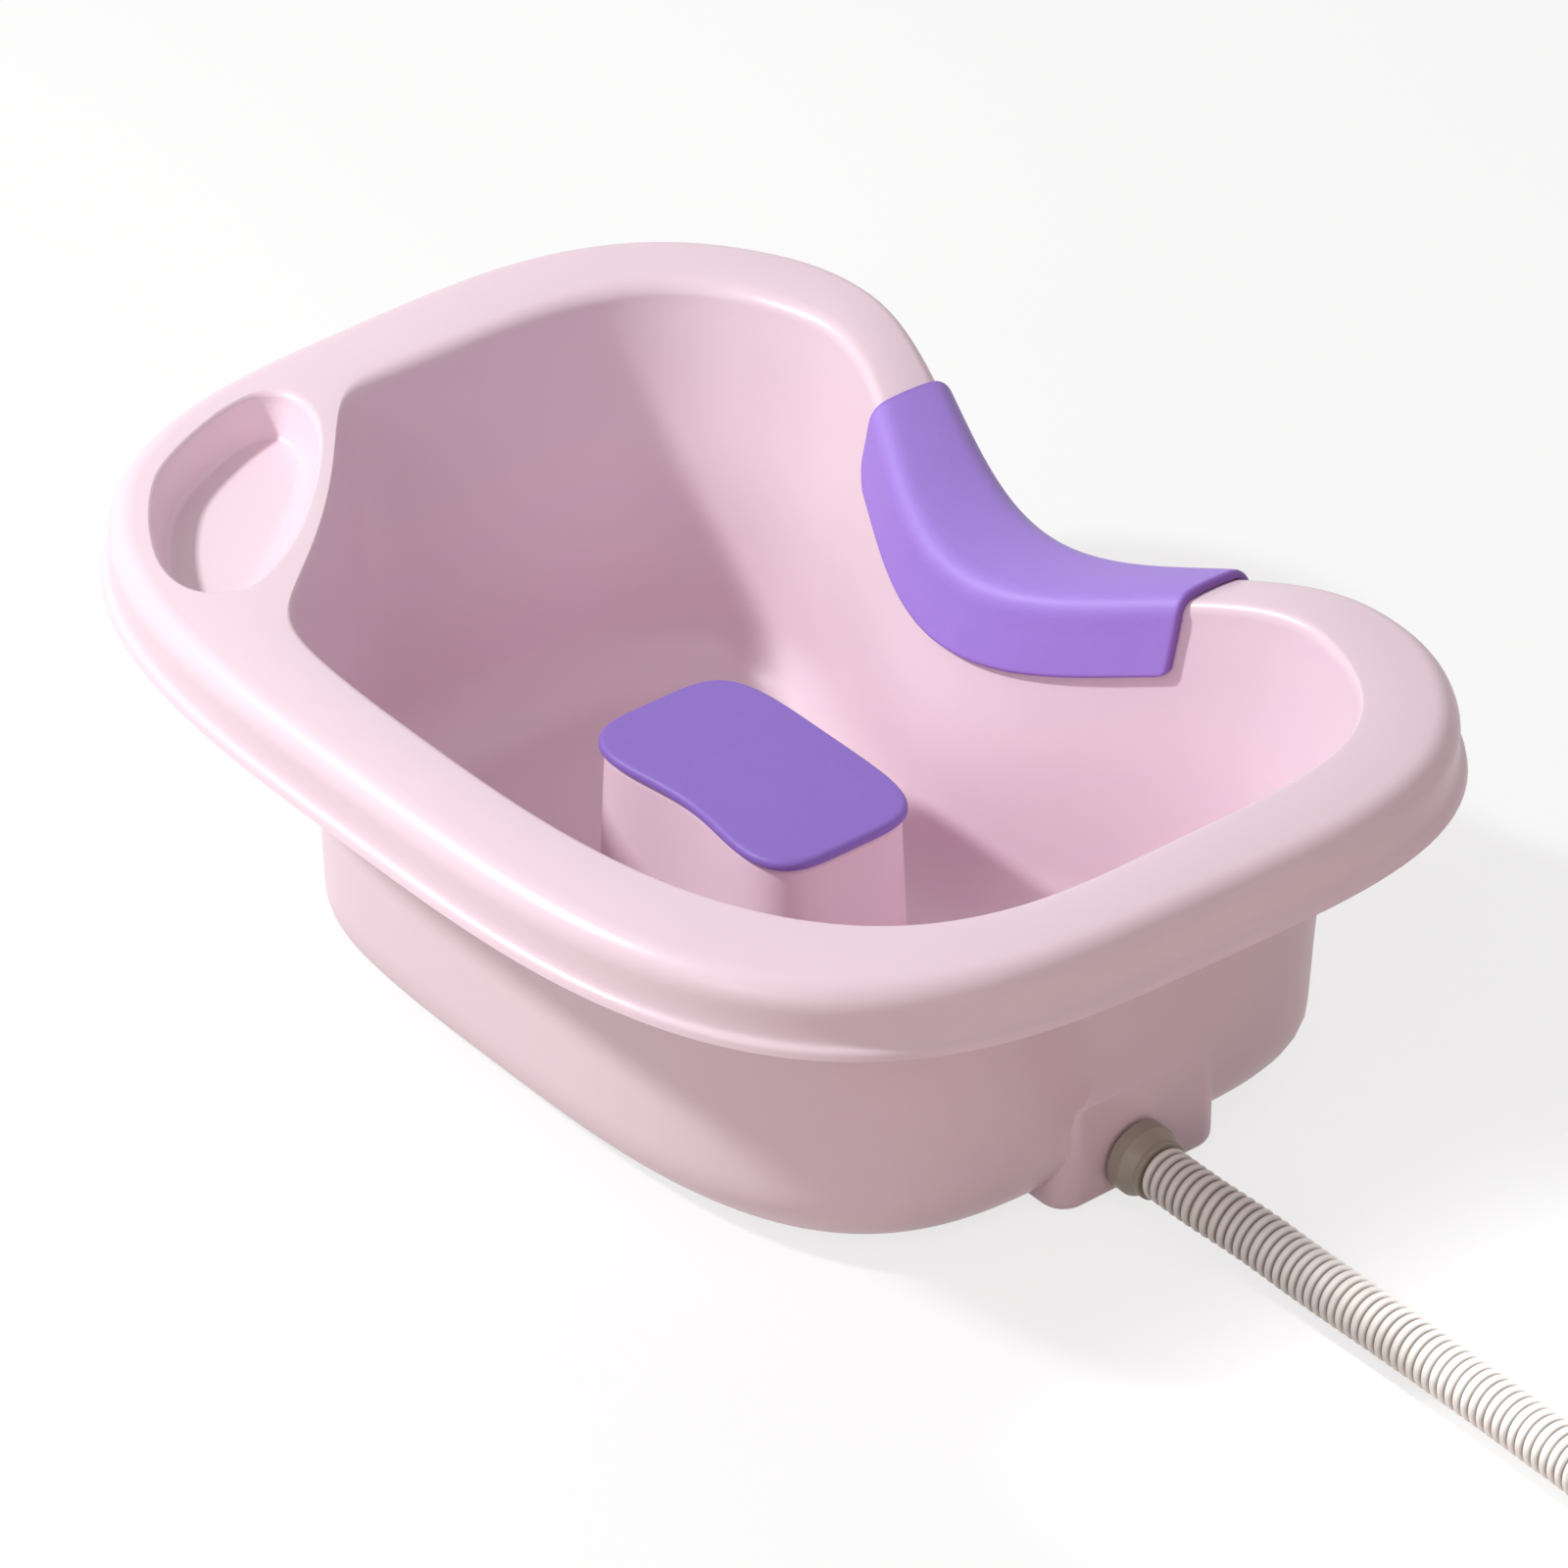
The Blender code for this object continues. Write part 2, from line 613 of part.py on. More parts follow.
def rest_ring(height, inset):
    """The head rest's rounded outline at a height, its long front side dented inwards."""
    turn = np.arange(REST_POINTS) * FULL_TURN / REST_POINTS
    half_length, half_width = REST_HALF_LENGTH - inset, REST_HALF_WIDTH - inset
    along = np.abs(np.cos(turn) / half_length) ** REST_POWER
    across = np.abs(np.sin(turn) / half_width) ** REST_POWER
    radius = (along + across) ** (-1 / REST_POWER)
    x, y = radius * np.cos(turn), radius * np.sin(turn)
    y = y + np.where(y < 0, REST_DENT * hump(x, REST_DENT_REACH), 0) - REST_FRONT
    return np.column_stack([x - REST_LEFT, y, np.full(REST_POINTS, height)])


def build_pad(parent, finish):
    """The soft pad on top of the head rest, with a low crown and eased edges."""
    low = REST_TOP - PAD_THICKNESS
    high = REST_TOP - PAD_CROWN
    pad = loft([
        rest_ring(low, PAD_EDGE / 2),
        rest_ring(low + PAD_EDGE / 2, 0.0),
        rest_ring(high - PAD_EDGE, 0.0),
        rest_ring(high - PAD_EDGE / 3, PAD_EDGE / 3),
        rest_ring(high, PAD_EDGE),
        rest_ring(REST_TOP, REST_HALF_WIDTH / 2),
    ])
    make_object("head_rest_pad", pad, finish, parent=parent)


def post_places():
    return [
        (REST_HALF_LENGTH * x - REST_LEFT, REST_HALF_WIDTH * y - REST_FRONT) for x, y in POST_PLACE_SHARES
    ]


def build_pedestal(parent, frame, finish):
    """The hollow stand under the pad, open below, with a post inside it for each suction cup."""
    top = REST_TOP - PAD_THICKNESS - GAP
    low = FLOOR_HEIGHT + PEDESTAL_FLOOR_GAP
    skin = loft([
        rest_ring(top, PEDESTAL_INSET + PEDESTAL_EDGE),
        rest_ring(top - PEDESTAL_EDGE / 3, PEDESTAL_INSET + PEDESTAL_EDGE / 3),
        rest_ring(top - PEDESTAL_EDGE, PEDESTAL_INSET),
        rest_ring(low, PEDESTAL_INSET - PEDESTAL_DRAFT),
    ], capped=False)
    skin.verts.ensure_lookup_table()
    skin.faces.new([skin.verts[i] for i in range(REST_POINTS)])
    pedestal = make_object("head_rest_pedestal", skin, finish, parent=parent)
    wall = pedestal.modifiers.new("Wall", "SOLIDIFY")
    wall.thickness = WALL
    wall.offset = -1
    wall.use_even_offset = True
    seat = FLOOR_HEIGHT + GAP + CUP_HEIGHT + GAP
    for number, (x, y) in enumerate(post_places(), 1):
        ends = (seat, top - WALL / 2)
        post = turned([(POST_RADIUS, end) for end in ends], SMALL_ROUND_POINTS, centre=(x, y, 0))
        combine(pedestal, helper(f"post_{number}", post, frame), "UNION")
        socket_ends = (seat - OVERRUN, seat + CUP_STEM_LENGTH)
        socket = turned(
            [(CUP_STEM_RADIUS + GAP, end) for end in socket_ends], SMALL_ROUND_POINTS, centre=(x, y, 0)
        )
        combine(pedestal, helper(f"post_socket_{number}", socket, frame), "DIFFERENCE")


def build_cups(parent, finish):
    """Suction cups that hold the head rest to the floor of the tub."""
    base = FLOOR_HEIGHT + GAP
    lip = CUP_HEIGHT / 12
    inside, outside = (
        [(CUP_RADIUS * out, base + CUP_HEIGHT * up) for out, up in shares]
        for shares in (CUP_INSIDE_SHARES, CUP_OUTSIDE_SHARES)
    )
    profile = [
        *inside, (CUP_RADIUS - lip, base), (CUP_RADIUS, base + lip), *outside,
        (CUP_STEM_RADIUS, base + CUP_HEIGHT),
        (CUP_STEM_RADIUS, base + CUP_HEIGHT + CUP_STEM_LENGTH - GAP),
    ]
    for number, (x, y) in enumerate(post_places(), 1):
        cup = turned(profile, SMALL_ROUND_POINTS, centre=(x, y, 0))
        make_object(f"head_rest_suction_cup_{number}", cup, finish, parent=parent)


# Outlet and hose

def build_outlet(frame, plastic, rubber, beige):
    """The threaded tail through the block, its flange, gaskets and collar, and the stopper inside."""
    centre = (0, OUTLET_MIDDLE, OUTLET_HEIGHT)
    inner_face = BLOCK_FACE - WALL
    gasket_near = inner_face - GAP - GASKET_THICKNESS
    flange_near = gasket_near - GAP - FLANGE_THICKNESS
    outer_near = BLOCK_FACE + GAP
    collar_near = outer_near + GASKET_THICKNESS + GAP
    collar_far = collar_near + COLLAR_LENGTH
    tail_far = collar_far + TAIL_LENGTH
    ring_bore = TAIL_RADIUS + GAP

    fitting = turned([
        (TAIL_BORE, flange_near), (FLANGE_RADIUS, flange_near), (FLANGE_RADIUS, gasket_near - GAP),
        (TAIL_RADIUS, gasket_near - GAP), (TAIL_RADIUS, tail_far), (TAIL_BORE, tail_far),
    ], ROUND_POINTS, "X", centre, looped=True)
    make_object("outlet_fitting", fitting, plastic, parent=frame)

    for name, near, radius in (
        ("outlet_inner_gasket", gasket_near, INNER_GASKET_RADIUS),
        ("outlet_outer_gasket", outer_near, OUTER_GASKET_RADIUS),
    ):
        far = near + GASKET_THICKNESS
        ring = turned(
            [(ring_bore, near), (radius, near), (radius, far), (ring_bore, far)],
            ROUND_POINTS, "X", centre, looped=True,
        )
        make_object(name, ring, rubber, parent=frame)

    collar = turned([
        (ring_bore, collar_near), (COLLAR_RADIUS - COLLAR_EDGE, collar_near),
        (COLLAR_RADIUS, collar_near + COLLAR_EDGE), (COLLAR_RADIUS, collar_near + COLLAR_BAND),
        (COLLAR_RADIUS - COLLAR_EDGE, collar_near + COLLAR_BAND + COLLAR_EDGE),
        (COLLAR_END_RADIUS + COLLAR_EDGE, collar_far - COLLAR_EDGE), (COLLAR_END_RADIUS, collar_far),
        (ring_bore, collar_far),
    ], ROUND_POINTS, "X", centre, looped=True)
    turn = empty("outlet_collar_turn", (collar_near, OUTLET_MIDDLE, OUTLET_HEIGHT), frame)
    made = make_object("outlet_collar", collar, beige, origin=turn.location, parent=turn)
    made.location = (0, 0, 0)

    cap_far = flange_near - GAP
    cap_near = cap_far - STOPPER_CAP_THICKNESS
    grip_near = cap_near - STOPPER_GRIP_LENGTH
    plug_radius = TAIL_BORE - GAP
    stopper = turned([
        (STOPPER_KNOB_RADIUS, grip_near), (STOPPER_KNOB_RADIUS, grip_near + STOPPER_KNOB_LENGTH),
        (STOPPER_GRIP_RADIUS, grip_near + STOPPER_KNOB_LENGTH), (STOPPER_GRIP_RADIUS, cap_near),
        (STOPPER_CAP_RADIUS, cap_near), (STOPPER_CAP_RADIUS, cap_far), (plug_radius, cap_far),
        (plug_radius - STOPPER_TAPER, cap_far + STOPPER_PLUG_LENGTH),
    ], ROUND_POINTS, "X", centre)
    pull = empty("outlet_stopper_pull", (cap_far, OUTLET_MIDDLE, OUTLET_HEIGHT), frame)
    made = make_object("outlet_stopper", stopper, rubber, origin=pull.location, parent=pull)
    made.location = (0, 0, 0)
    return collar_far + GAP


def hose_centre_line(start_x):
    """Dense points along the hose: straight out of the collar, along the route, and straight at its end."""
    diameter = 2 * HOSE_RADIUS
    start = np.array([start_x, OUTLET_MIDDLE, OUTLET_HEIGHT])
    out = start + np.array([diameter, 0, 0])
    route = [start, out, *(np.array(HOSE_ROUTE_FROM_BLOCK) + [BLOCK_FACE, 0, 0])]
    heading = np.array([math.cos(HOSE_END_TURN), math.sin(HOSE_END_TURN), 0])
    route += [route[-1] + heading * diameter, route[-1] + 2 * heading * diameter]
    route = np.array(route)
    share = np.linspace(0, 1, HOSE_STEPS, endpoint=False)[:, None]
    curved = [
        smooth_step(*(route[min(max(i + k, 0), len(route) - 1)] for k in (-1, 0, 1, 2)), share)
        for i in range(1, len(route) - 2)
    ]
    return np.vstack([route[:1], *curved, route[-2:]])


def along_line(line, places):
    steps = np.linalg.norm(np.diff(line, axis=0), axis=1)
    along = np.concatenate([[0], np.cumsum(steps)])
    return np.column_stack([np.interp(places, along, line[:, k]) for k in range(3)]), along[-1]


def tube(name, points, radii):
    """A capped round tube along points, as a bmesh."""
    curve = bpy.data.curves.new(name, "CURVE")
    curve.dimensions = "3D"
    curve.bevel_depth = 1
    curve.bevel_resolution = 2
    curve.use_fill_caps = True
    spline = curve.splines.new("POLY")
    spline.points.add(len(points) - 1)
    for place, point, radius in zip(spline.points, points, radii):
        place.co = (*point, 1)
        place.radius = radius
    guide = bpy.data.objects.new(name, curve)
    bpy.context.scene.collection.objects.link(guide)
    graph = bpy.context.evaluated_depsgraph_get()
    mesh = bpy.data.meshes.new_from_object(guide.evaluated_get(graph))
    bpy.data.objects.remove(guide)
    bm = bmesh.new()
    bm.from_mesh(mesh)
    bmesh.ops.remove_doubles(bm, verts=bm.verts, dist=WELD)
    bmesh.ops.recalc_face_normals(bm, faces=bm.faces)
    return bm


def build_hose(frame, finish, start_x):
    """The ribbed hose with its bore, from the collar along the floor and round past the basin's end."""
    line = hose_centre_line(start_x)
    length = along_line(line, [0])[1]
    ribs = int(length / HOSE_PITCH)
    places = np.linspace(0, length, 2 * ribs + 1)
    points = along_line(line, places)[0]
    radii = np.where(np.arange(len(points)) % 2, HOSE_RADIUS * HOSE_VALLEY_SHARE, HOSE_RADIUS)
    hose = make_object("drain_hose", tube("hose_ribs", points, radii), finish, parent=frame)
    lead_in = line[0] - (line[1] - line[0]) / np.linalg.norm(line[1] - line[0]) * OVERRUN
    lead_out = line[-1] + (line[-1] - line[-2]) / np.linalg.norm(line[-1] - line[-2]) * OVERRUN
    core = along_line(line, np.linspace(0, length, int(length / HOSE_BORE_STEP)))[0]
    core = np.vstack([lead_in, core, lead_out])
    bore = tube("hose_core", core, np.full(len(core), HOSE_BORE_RADIUS))
    combine(hose, helper("hose_bore", bore, frame), "DIFFERENCE")
    print("Hose length", round(length, 4), "m with", ribs, "ribs")


def main():
    for old in list(bpy.data.objects):
        bpy.data.objects.remove(old)
    lip = plan_ring(LIP)
    left, front = -(lip.min(axis=0) + lip.max(axis=0)) / 2
    frame = empty("basin_frame", (left, front, 0), None)
    pink = material("pink_plastic", PINK, 0.38)
    purple = material("purple_foam", PURPLE, 0.5)
    beige = material("beige_plastic", COLLAR_BEIGE, 0.4)
    white_hose = material("hose_plastic", HOSE_WHITE, 0.35)
    white_rubber = material("white_rubber", RUBBER_WHITE, 0.6)
    grey_rubber = material("grey_rubber", RUBBER_GREY, 0.7)
    clear = material("clear_rubber", CLEAR_GREY, 0.2)
    build_shell(frame, pink)
    build_feet(frame, grey_rubber)
    build_cushion(frame, purple)
    rest = empty("head_rest_lift", (0, 0, 0), frame)
    build_pad(rest, purple)
    build_pedestal(rest, frame, pink)
    build_cups(rest, clear)
    hose_start = build_outlet(frame, beige, white_rubber, beige)
    build_hose(frame, white_hose, hose_start)


main()
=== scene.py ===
"""Portable shampoo basin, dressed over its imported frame: tub, neck cushion, head rest, outlet and hose."""

import logging
import math
from dataclasses import dataclass, fields, replace
from enum import Enum
from typing import Optional, Union

import bmesh
import bpy
import numpy as np
from mathutils import Matrix, Vector


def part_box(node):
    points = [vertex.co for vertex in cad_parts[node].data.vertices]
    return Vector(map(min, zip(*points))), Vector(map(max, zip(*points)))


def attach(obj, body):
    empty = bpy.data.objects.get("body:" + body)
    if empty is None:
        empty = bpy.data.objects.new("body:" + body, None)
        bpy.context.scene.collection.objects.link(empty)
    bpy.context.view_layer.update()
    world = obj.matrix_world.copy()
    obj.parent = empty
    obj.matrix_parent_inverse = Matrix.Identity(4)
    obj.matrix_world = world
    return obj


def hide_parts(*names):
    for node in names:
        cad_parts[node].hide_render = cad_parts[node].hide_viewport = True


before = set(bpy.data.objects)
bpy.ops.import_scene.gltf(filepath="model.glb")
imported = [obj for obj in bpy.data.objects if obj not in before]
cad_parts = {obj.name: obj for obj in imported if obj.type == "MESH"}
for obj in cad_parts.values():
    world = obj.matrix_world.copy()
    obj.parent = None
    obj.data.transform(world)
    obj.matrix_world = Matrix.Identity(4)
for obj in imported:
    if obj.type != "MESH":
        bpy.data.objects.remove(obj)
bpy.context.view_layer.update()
LOG = logging.getLogger("basin")

Array = np.ndarray
Piece = bpy.types.Object
Term = Union["Link", float]
Value = Union["Link", float, tuple]

FULL_TURN = 2 * math.pi
QUARTER_TURN = math.pi / 2
OUTLET_NEAR = 0.2277
OUTLET_MIDDLE = 0.0215
OUTLET_HEIGHT = 0.0192
OUTLET_CENTRE = (0, OUTLET_MIDDLE, OUTLET_HEIGHT)


def frame_shift() -> Vector:
    """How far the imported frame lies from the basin's own frame, read from the collar's box."""
    low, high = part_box("outlet_collar")
    return Vector((low.x - OUTLET_NEAR, (low.y + high.y) / 2 - OUTLET_MIDDLE, 0))


SHIFT = frame_shift()


# Shader building

class Link:
    """A shader socket that takes part in Python expressions, each of which adds its Math node."""

    def __init__(self, nodes: "Nodes", socket: bpy.types.NodeSocket) -> None:
        """Keeps the socket and the tree that new nodes go to."""
        self.nodes = nodes
        self.socket = socket

    def _maths(self, operation: str, *terms: Term) -> "Link":
        """The result of one Math node on links or numbers."""
        return self.nodes.link("ShaderNodeMath", {"operation": operation}, dict(enumerate(terms)))

    def __add__(self, other: Term) -> "Link":
        """The sum with a link or number."""
        return self._maths("ADD", self, other)

    def __sub__(self, other: Term) -> "Link":
        """The difference to a link or number."""
        return self._maths("SUBTRACT", self, other)

    def __rsub__(self, other: float) -> "Link":
        """A number less this."""
        return self._maths("SUBTRACT", other, self)

    def __mul__(self, other: Term) -> "Link":
        """The product with a link or number."""
        return self._maths("MULTIPLY", self, other)

    def __pow__(self, other: float) -> "Link":
        """This to a power."""
        return self._maths("POWER", self, other)

    __radd__ = __add__
    __rmul__ = __mul__

    def clamped(self) -> "Link":
        """This, held between 0 and 1."""
        return self._maths("MINIMUM", self._maths("MAXIMUM", self, 0.0), 1.0)


class Nodes:
    """A node tree, and the one way in which nodes are added to it."""

    def __init__(self, tree: bpy.types.NodeTree) -> None:
        """Keeps the tree."""
        self.tree = tree

    def node(
        self, kind: str, settings: Optional[dict] = None, values: Optional[dict] = None
    ) -> bpy.types.Node:
        """Adds any node.

        Args:
            kind: The node's type.
            settings: Its settings by name, set first.
            values: Numbers, colours or links for its sockets, by socket name or number.

        Returns:
            The node.
        """
        made = self.tree.nodes.new(kind)
        for name, value in (settings or {}).items():
            setattr(made, name, value)
        for name, value in (values or {}).items():
            self.fill(made.inputs[name], value)
        return made

    def link(
        self, kind: str, settings: Optional[dict] = None, values: Optional[dict] = None,
        output: Union[int, str] = 0,
    ) -> Link:
        """Adds any node as node does, and gives the link of one of its outputs."""
        return Link(self, self.node(kind, settings, values).outputs[output])

    def fill(self, socket: bpy.types.NodeSocket, value: Value) -> None:
        """Links a link to the socket, or sets the value on it.

        Args:
            socket: The socket.
            value: The link, number or colour.
        """
        if isinstance(value, Link):
            self.tree.links.new(value.socket, socket)
        else:
            socket.default_value = value


class Shader(Nodes):
    """One procedural material on the Principled shader, with object coordinates in metres."""

    def __init__(self, name: str) -> None:
        """Makes the material and finds its shader node.

        Args:
            name: The material's name.
        """
        self.material = bpy.data.materials.new(name)
        self.material.use_nodes = True
        super().__init__(self.material.node_tree)
        self.surface = self.tree.nodes["Principled BSDF"]
        self.place = self.link("ShaderNodeTexCoord", output="Object")

    def noise(self, size: float, detail: float = 2.0, roughness: float = 0.5) -> Link:
        """A soft noise from about 0 to 1.

        Args:
            size: Width of its features, in metres.
            detail: Octaves of finer noise on it.
            roughness: Strength of the finer noise.

        Returns:
            The link of its value.
        """
        values = {"Vector": self.place, "Scale": 1 / size, "Detail": detail, "Roughness": roughness}
        return self.link("ShaderNodeTexNoise", values=values, output="Fac")

    def attribute(self, name: str) -> Link:
        """The value of the mesh's own attribute."""
        return self.link("ShaderNodeAttribute", {"attribute_name": name}, output="Fac")

    def mixed(self, share: Value, first: Value, second: Value) -> Link:
        """The colour that lies a share of the way from the first to the second."""
        return self.link("ShaderNodeMix", {"data_type": "RGBA"}, {0: share, 6: first, 7: second}, 2)

    def shaded(self, share: Link, colour: tuple, darker: float, lighter: float) -> Link:
        """A colour that runs from darker to lighter, given as factors on its light."""
        return self.mixed(share, linear(colour, darker), linear(colour, lighter))

    def bumped(self, height: Link, depth: float) -> None:
        """Raises the surface by a height of 0 to 1 that stands for a real depth in metres."""
        bump = self.link("ShaderNodeBump", values={"Distance": depth, "Height": height})
        self.fill(self.surface.inputs["Normal"], bump)

    def finish(self, **sockets: Value) -> bpy.types.Material:
        """Sets the shader's sockets.

        Args:
            sockets: Values by socket name, with _ for a space.

        Returns:
            The finished material.
        """
        for name, value in sockets.items():
            self.fill(self.surface.inputs[name.replace("_", " ")], value)
        return self.material


def linear(colour: tuple, light: float = 1.0) -> tuple:
    """An sRGB colour of 0 to 255 as the shader's linear values, times a factor on its light."""
    values = (((c / 255 + 0.055) / 1.055) ** 2.4 for c in colour)
    return (*(min(v * light, 1.0) for v in values), 1.0)


# Finishes

@dataclass(frozen=True)
class SatinPlastic:
    """Moulded polypropylene: an even colour, a faint flow of the melt and a fine satin grain."""

    name: str
    colour: tuple
    roughness: float = 0.34
    roughness_spread: float = 0.10
    tint_spread: float = 0.035
    flow_size: float = 0.085
    patch_size: float = 0.022
    grain_size: float = 0.0007
    grain_depth: float = 0.00002

    def make(self) -> bpy.types.Material:
        """Builds the material.

        Returns:
            The material.
        """
        shader = Shader(self.name)
        flow = shader.noise(self.flow_size, detail=3.0)
        patch = shader.noise(self.patch_size, detail=4.0, roughness=0.6)
        grain = shader.noise(self.grain_size, detail=2.0, roughness=0.7)
        blend = (0.6 * flow + 0.4 * patch).clamped()
        tint = shader.shaded(blend, self.colour, 1 - self.tint_spread, 1 + self.tint_spread / 2)
        gloss = self.roughness + self.roughness_spread * (patch - 0.5) + 0.04 * (grain - 0.5)
        shader.bumped(grain + 0.5 * patch, self.grain_depth)
        return shader.finish(Base_Color=tint, Roughness=gloss, IOR=1.49)


@dataclass(frozen=True)
class SkinnedFoam:
    """Moulded foam with a closed skin: a soft sheen, a fine pebble, slightly uneven colour and, where an
    edge colour is given, painted shade towards its edges.
    """

    name: str
    colour: tuple
    # Colour of the painted shade towards the edges; none when empty.
    edge: tuple = ()
    roughness: float = 0.50
    tint_spread: float = 0.07
    pebble_size: float = 0.0011
    pebble_depth: float = 0.00005
    patch_size: float = 0.018

    def make(self) -> bpy.types.Material:
        """Builds the material.

        Returns:
            The material.
        """
        shader = Shader(self.name)
        patch = shader.noise(self.patch_size, detail=4.0, roughness=0.6)
        pebble = shader.link(
            "ShaderNodeTexVoronoi", {"feature": "SMOOTH_F1"},
            {"Vector": shader.place, "Scale": 1 / self.pebble_size, "Smoothness": 0.8}, "Distance",
        )
        pores = shader.noise(self.pebble_size / 3, detail=2.0)
        blend = (0.75 * patch + 0.35 * pebble).clamped()
        tint = shader.shaded(blend, self.colour, 1 - self.tint_spread, 1 + self.tint_spread)
        # Painted shade: the colour darkens towards the cushion's edges, where its rounded sides turn from
        # the light.
        if self.edge:
            painted_edge_shade = shader.attribute(NeckCushion.EDGE) ** 1.6 * (0.75 + 0.3 * patch)
            tint = shader.mixed(painted_edge_shade.clamped(), tint, linear(self.edge))
        gloss = self.roughness + 0.10 * (patch - 0.5) + 0.06 * (pores - 0.5)
        shader.bumped(pebble + 0.4 * pores, self.pebble_depth)
        return shader.finish(
            Base_Color=tint, Roughness=gloss, IOR=1.45, Sheen_Weight=0.12, Sheen_Roughness=0.4,
        )


@dataclass(frozen=True)
class HoseVinyl:
    """Soft white vinyl of the hose: glossy ribs, and duller grooves darkened by painted shade."""

    name: str
    # Colour of the painted shade deep in the grooves.
    rib: tuple
    groove: tuple
    roughness: float = 0.34
    patch_size: float = 0.030
    dust_size: float = 0.0016
    dust_depth: float = 0.00003

    def make(self) -> bpy.types.Material:
        """Builds the material.

        Returns:
            The material.
        """
        shader = Shader(self.name)
        depth = shader.attribute(DrainHose.GROOVE)
        patch = shader.noise(self.patch_size, detail=3.0)
        dust = shader.noise(self.dust_size, detail=3.0, roughness=0.65)
        # Painted shade: darker with the groove's depth, with a little random tone on top.
        shade = (depth ** 1.8 * 0.95 + 0.10 * (patch - 0.5) + 0.06 * (dust - 0.5)).clamped()
        tint = shader.mixed(shade, linear(self.rib), linear(self.groove))
        gloss = (self.roughness + 0.25 * depth + 0.10 * (patch - 0.5)).clamped()
        shader.bumped(dust, self.dust_depth)
        return shader.finish(Base_Color=tint, Roughness=gloss, IOR=1.52)


@dataclass(frozen=True)
class DullRubber:
    """Plain moulded rubber with a dusty bloom."""

    name: str
    colour: tuple
    roughness: float = 0.6
    tint_spread: float = 0.12
    bloom_size: float = 0.006
    grain_size: float = 0.0005
    grain_depth: float = 0.00004

    def make(self) -> bpy.types.Material:
        """Builds the material.

        Returns:
            The material.
        """
        shader = Shader(self.name)
        bloom = shader.noise(self.bloom_size, detail=5.0, roughness=0.65)
        grain = shader.noise(self.grain_size, detail=2.0)
        tint = shader.shaded(bloom, self.colour, 1 - self.tint_spread, 1 + self.tint_spread)
        shader.bumped(grain + bloom, self.grain_depth)
        return shader.finish(Base_Color=tint, Roughness=self.roughness + 0.16 * (bloom - 0.5), IOR=1.5)


@dataclass(frozen=True)
class ClearRubber:
    """Clear soft vinyl of the suction cups, a little cloudy."""

    name: str
    colour: tuple
    cloud_size: float = 0.005
    cloud_depth: float = 0.00004

    def make(self) -> bpy.types.Material:
        """Builds the material.

        Returns:
            The material.
        """
        shader = Shader(self.name)
        cloud = shader.noise(self.cloud_size, detail=3.0)
        tint = shader.shaded(cloud, self.colour, 0.94, 1.04)
        shader.bumped(cloud, self.cloud_depth)
        return shader.finish(
            Base_Color=tint, Roughness=0.14 + 0.10 * cloud, IOR=1.5, Transmission_Weight=0.45,
        )


class Palette:
    """The finishes of the whole object, made once and shared by its pieces."""

    def __init__(self) -> None:
        """Makes every material."""
        self.pink = SatinPlastic("pink_plastic_satin", (238, 214, 226)).make()
        # The cushion's foam darkens towards its edges as painted shade.
        self.foam = SkinnedFoam("purple_foam_skin", (164, 131, 224), edge=(126, 74, 166)).make()
        self.pad_foam = SkinnedFoam("purple_foam_pad_skin", (138, 108, 198)).make()
        self.beige = SatinPlastic(
            "beige_plastic_satin", (164, 157, 142), roughness=0.42, tint_spread=0.10, flow_size=0.012
        ).make()
        # The hose's grooves get painted shade.
        self.hose = HoseVinyl("hose_vinyl", (243, 241, 237), (104, 96, 86)).make()
        self.white_rubber = DullRubber("white_rubber_dull", (226, 224, 220)).make()
        self.grey_rubber = DullRubber("grey_rubber_dull", (120, 120, 122), roughness=0.72).make()
        self.clear = ClearRubber("clear_rubber_cloudy", (205, 208, 214)).make()


# Modelling moves

class CutKind(Enum):
    """What a tool body does to the piece."""

    JOIN = "UNION"
    CUT = "DIFFERENCE"


class Ends(Enum):
    """How a skin ends, as whether its first and its last ring get a face."""

    CLOSED = (True, True)
    FIRST_CLOSED = (True, False)
    OPEN = (False, False)
    LOOPED = None


class Axis(Enum):
    """The axis that a turned piece is turned round, as the places of its first, second and third column."""

    ALONG_X = (2, 0, 1)
    ALONG_Z = (0, 1, 2)


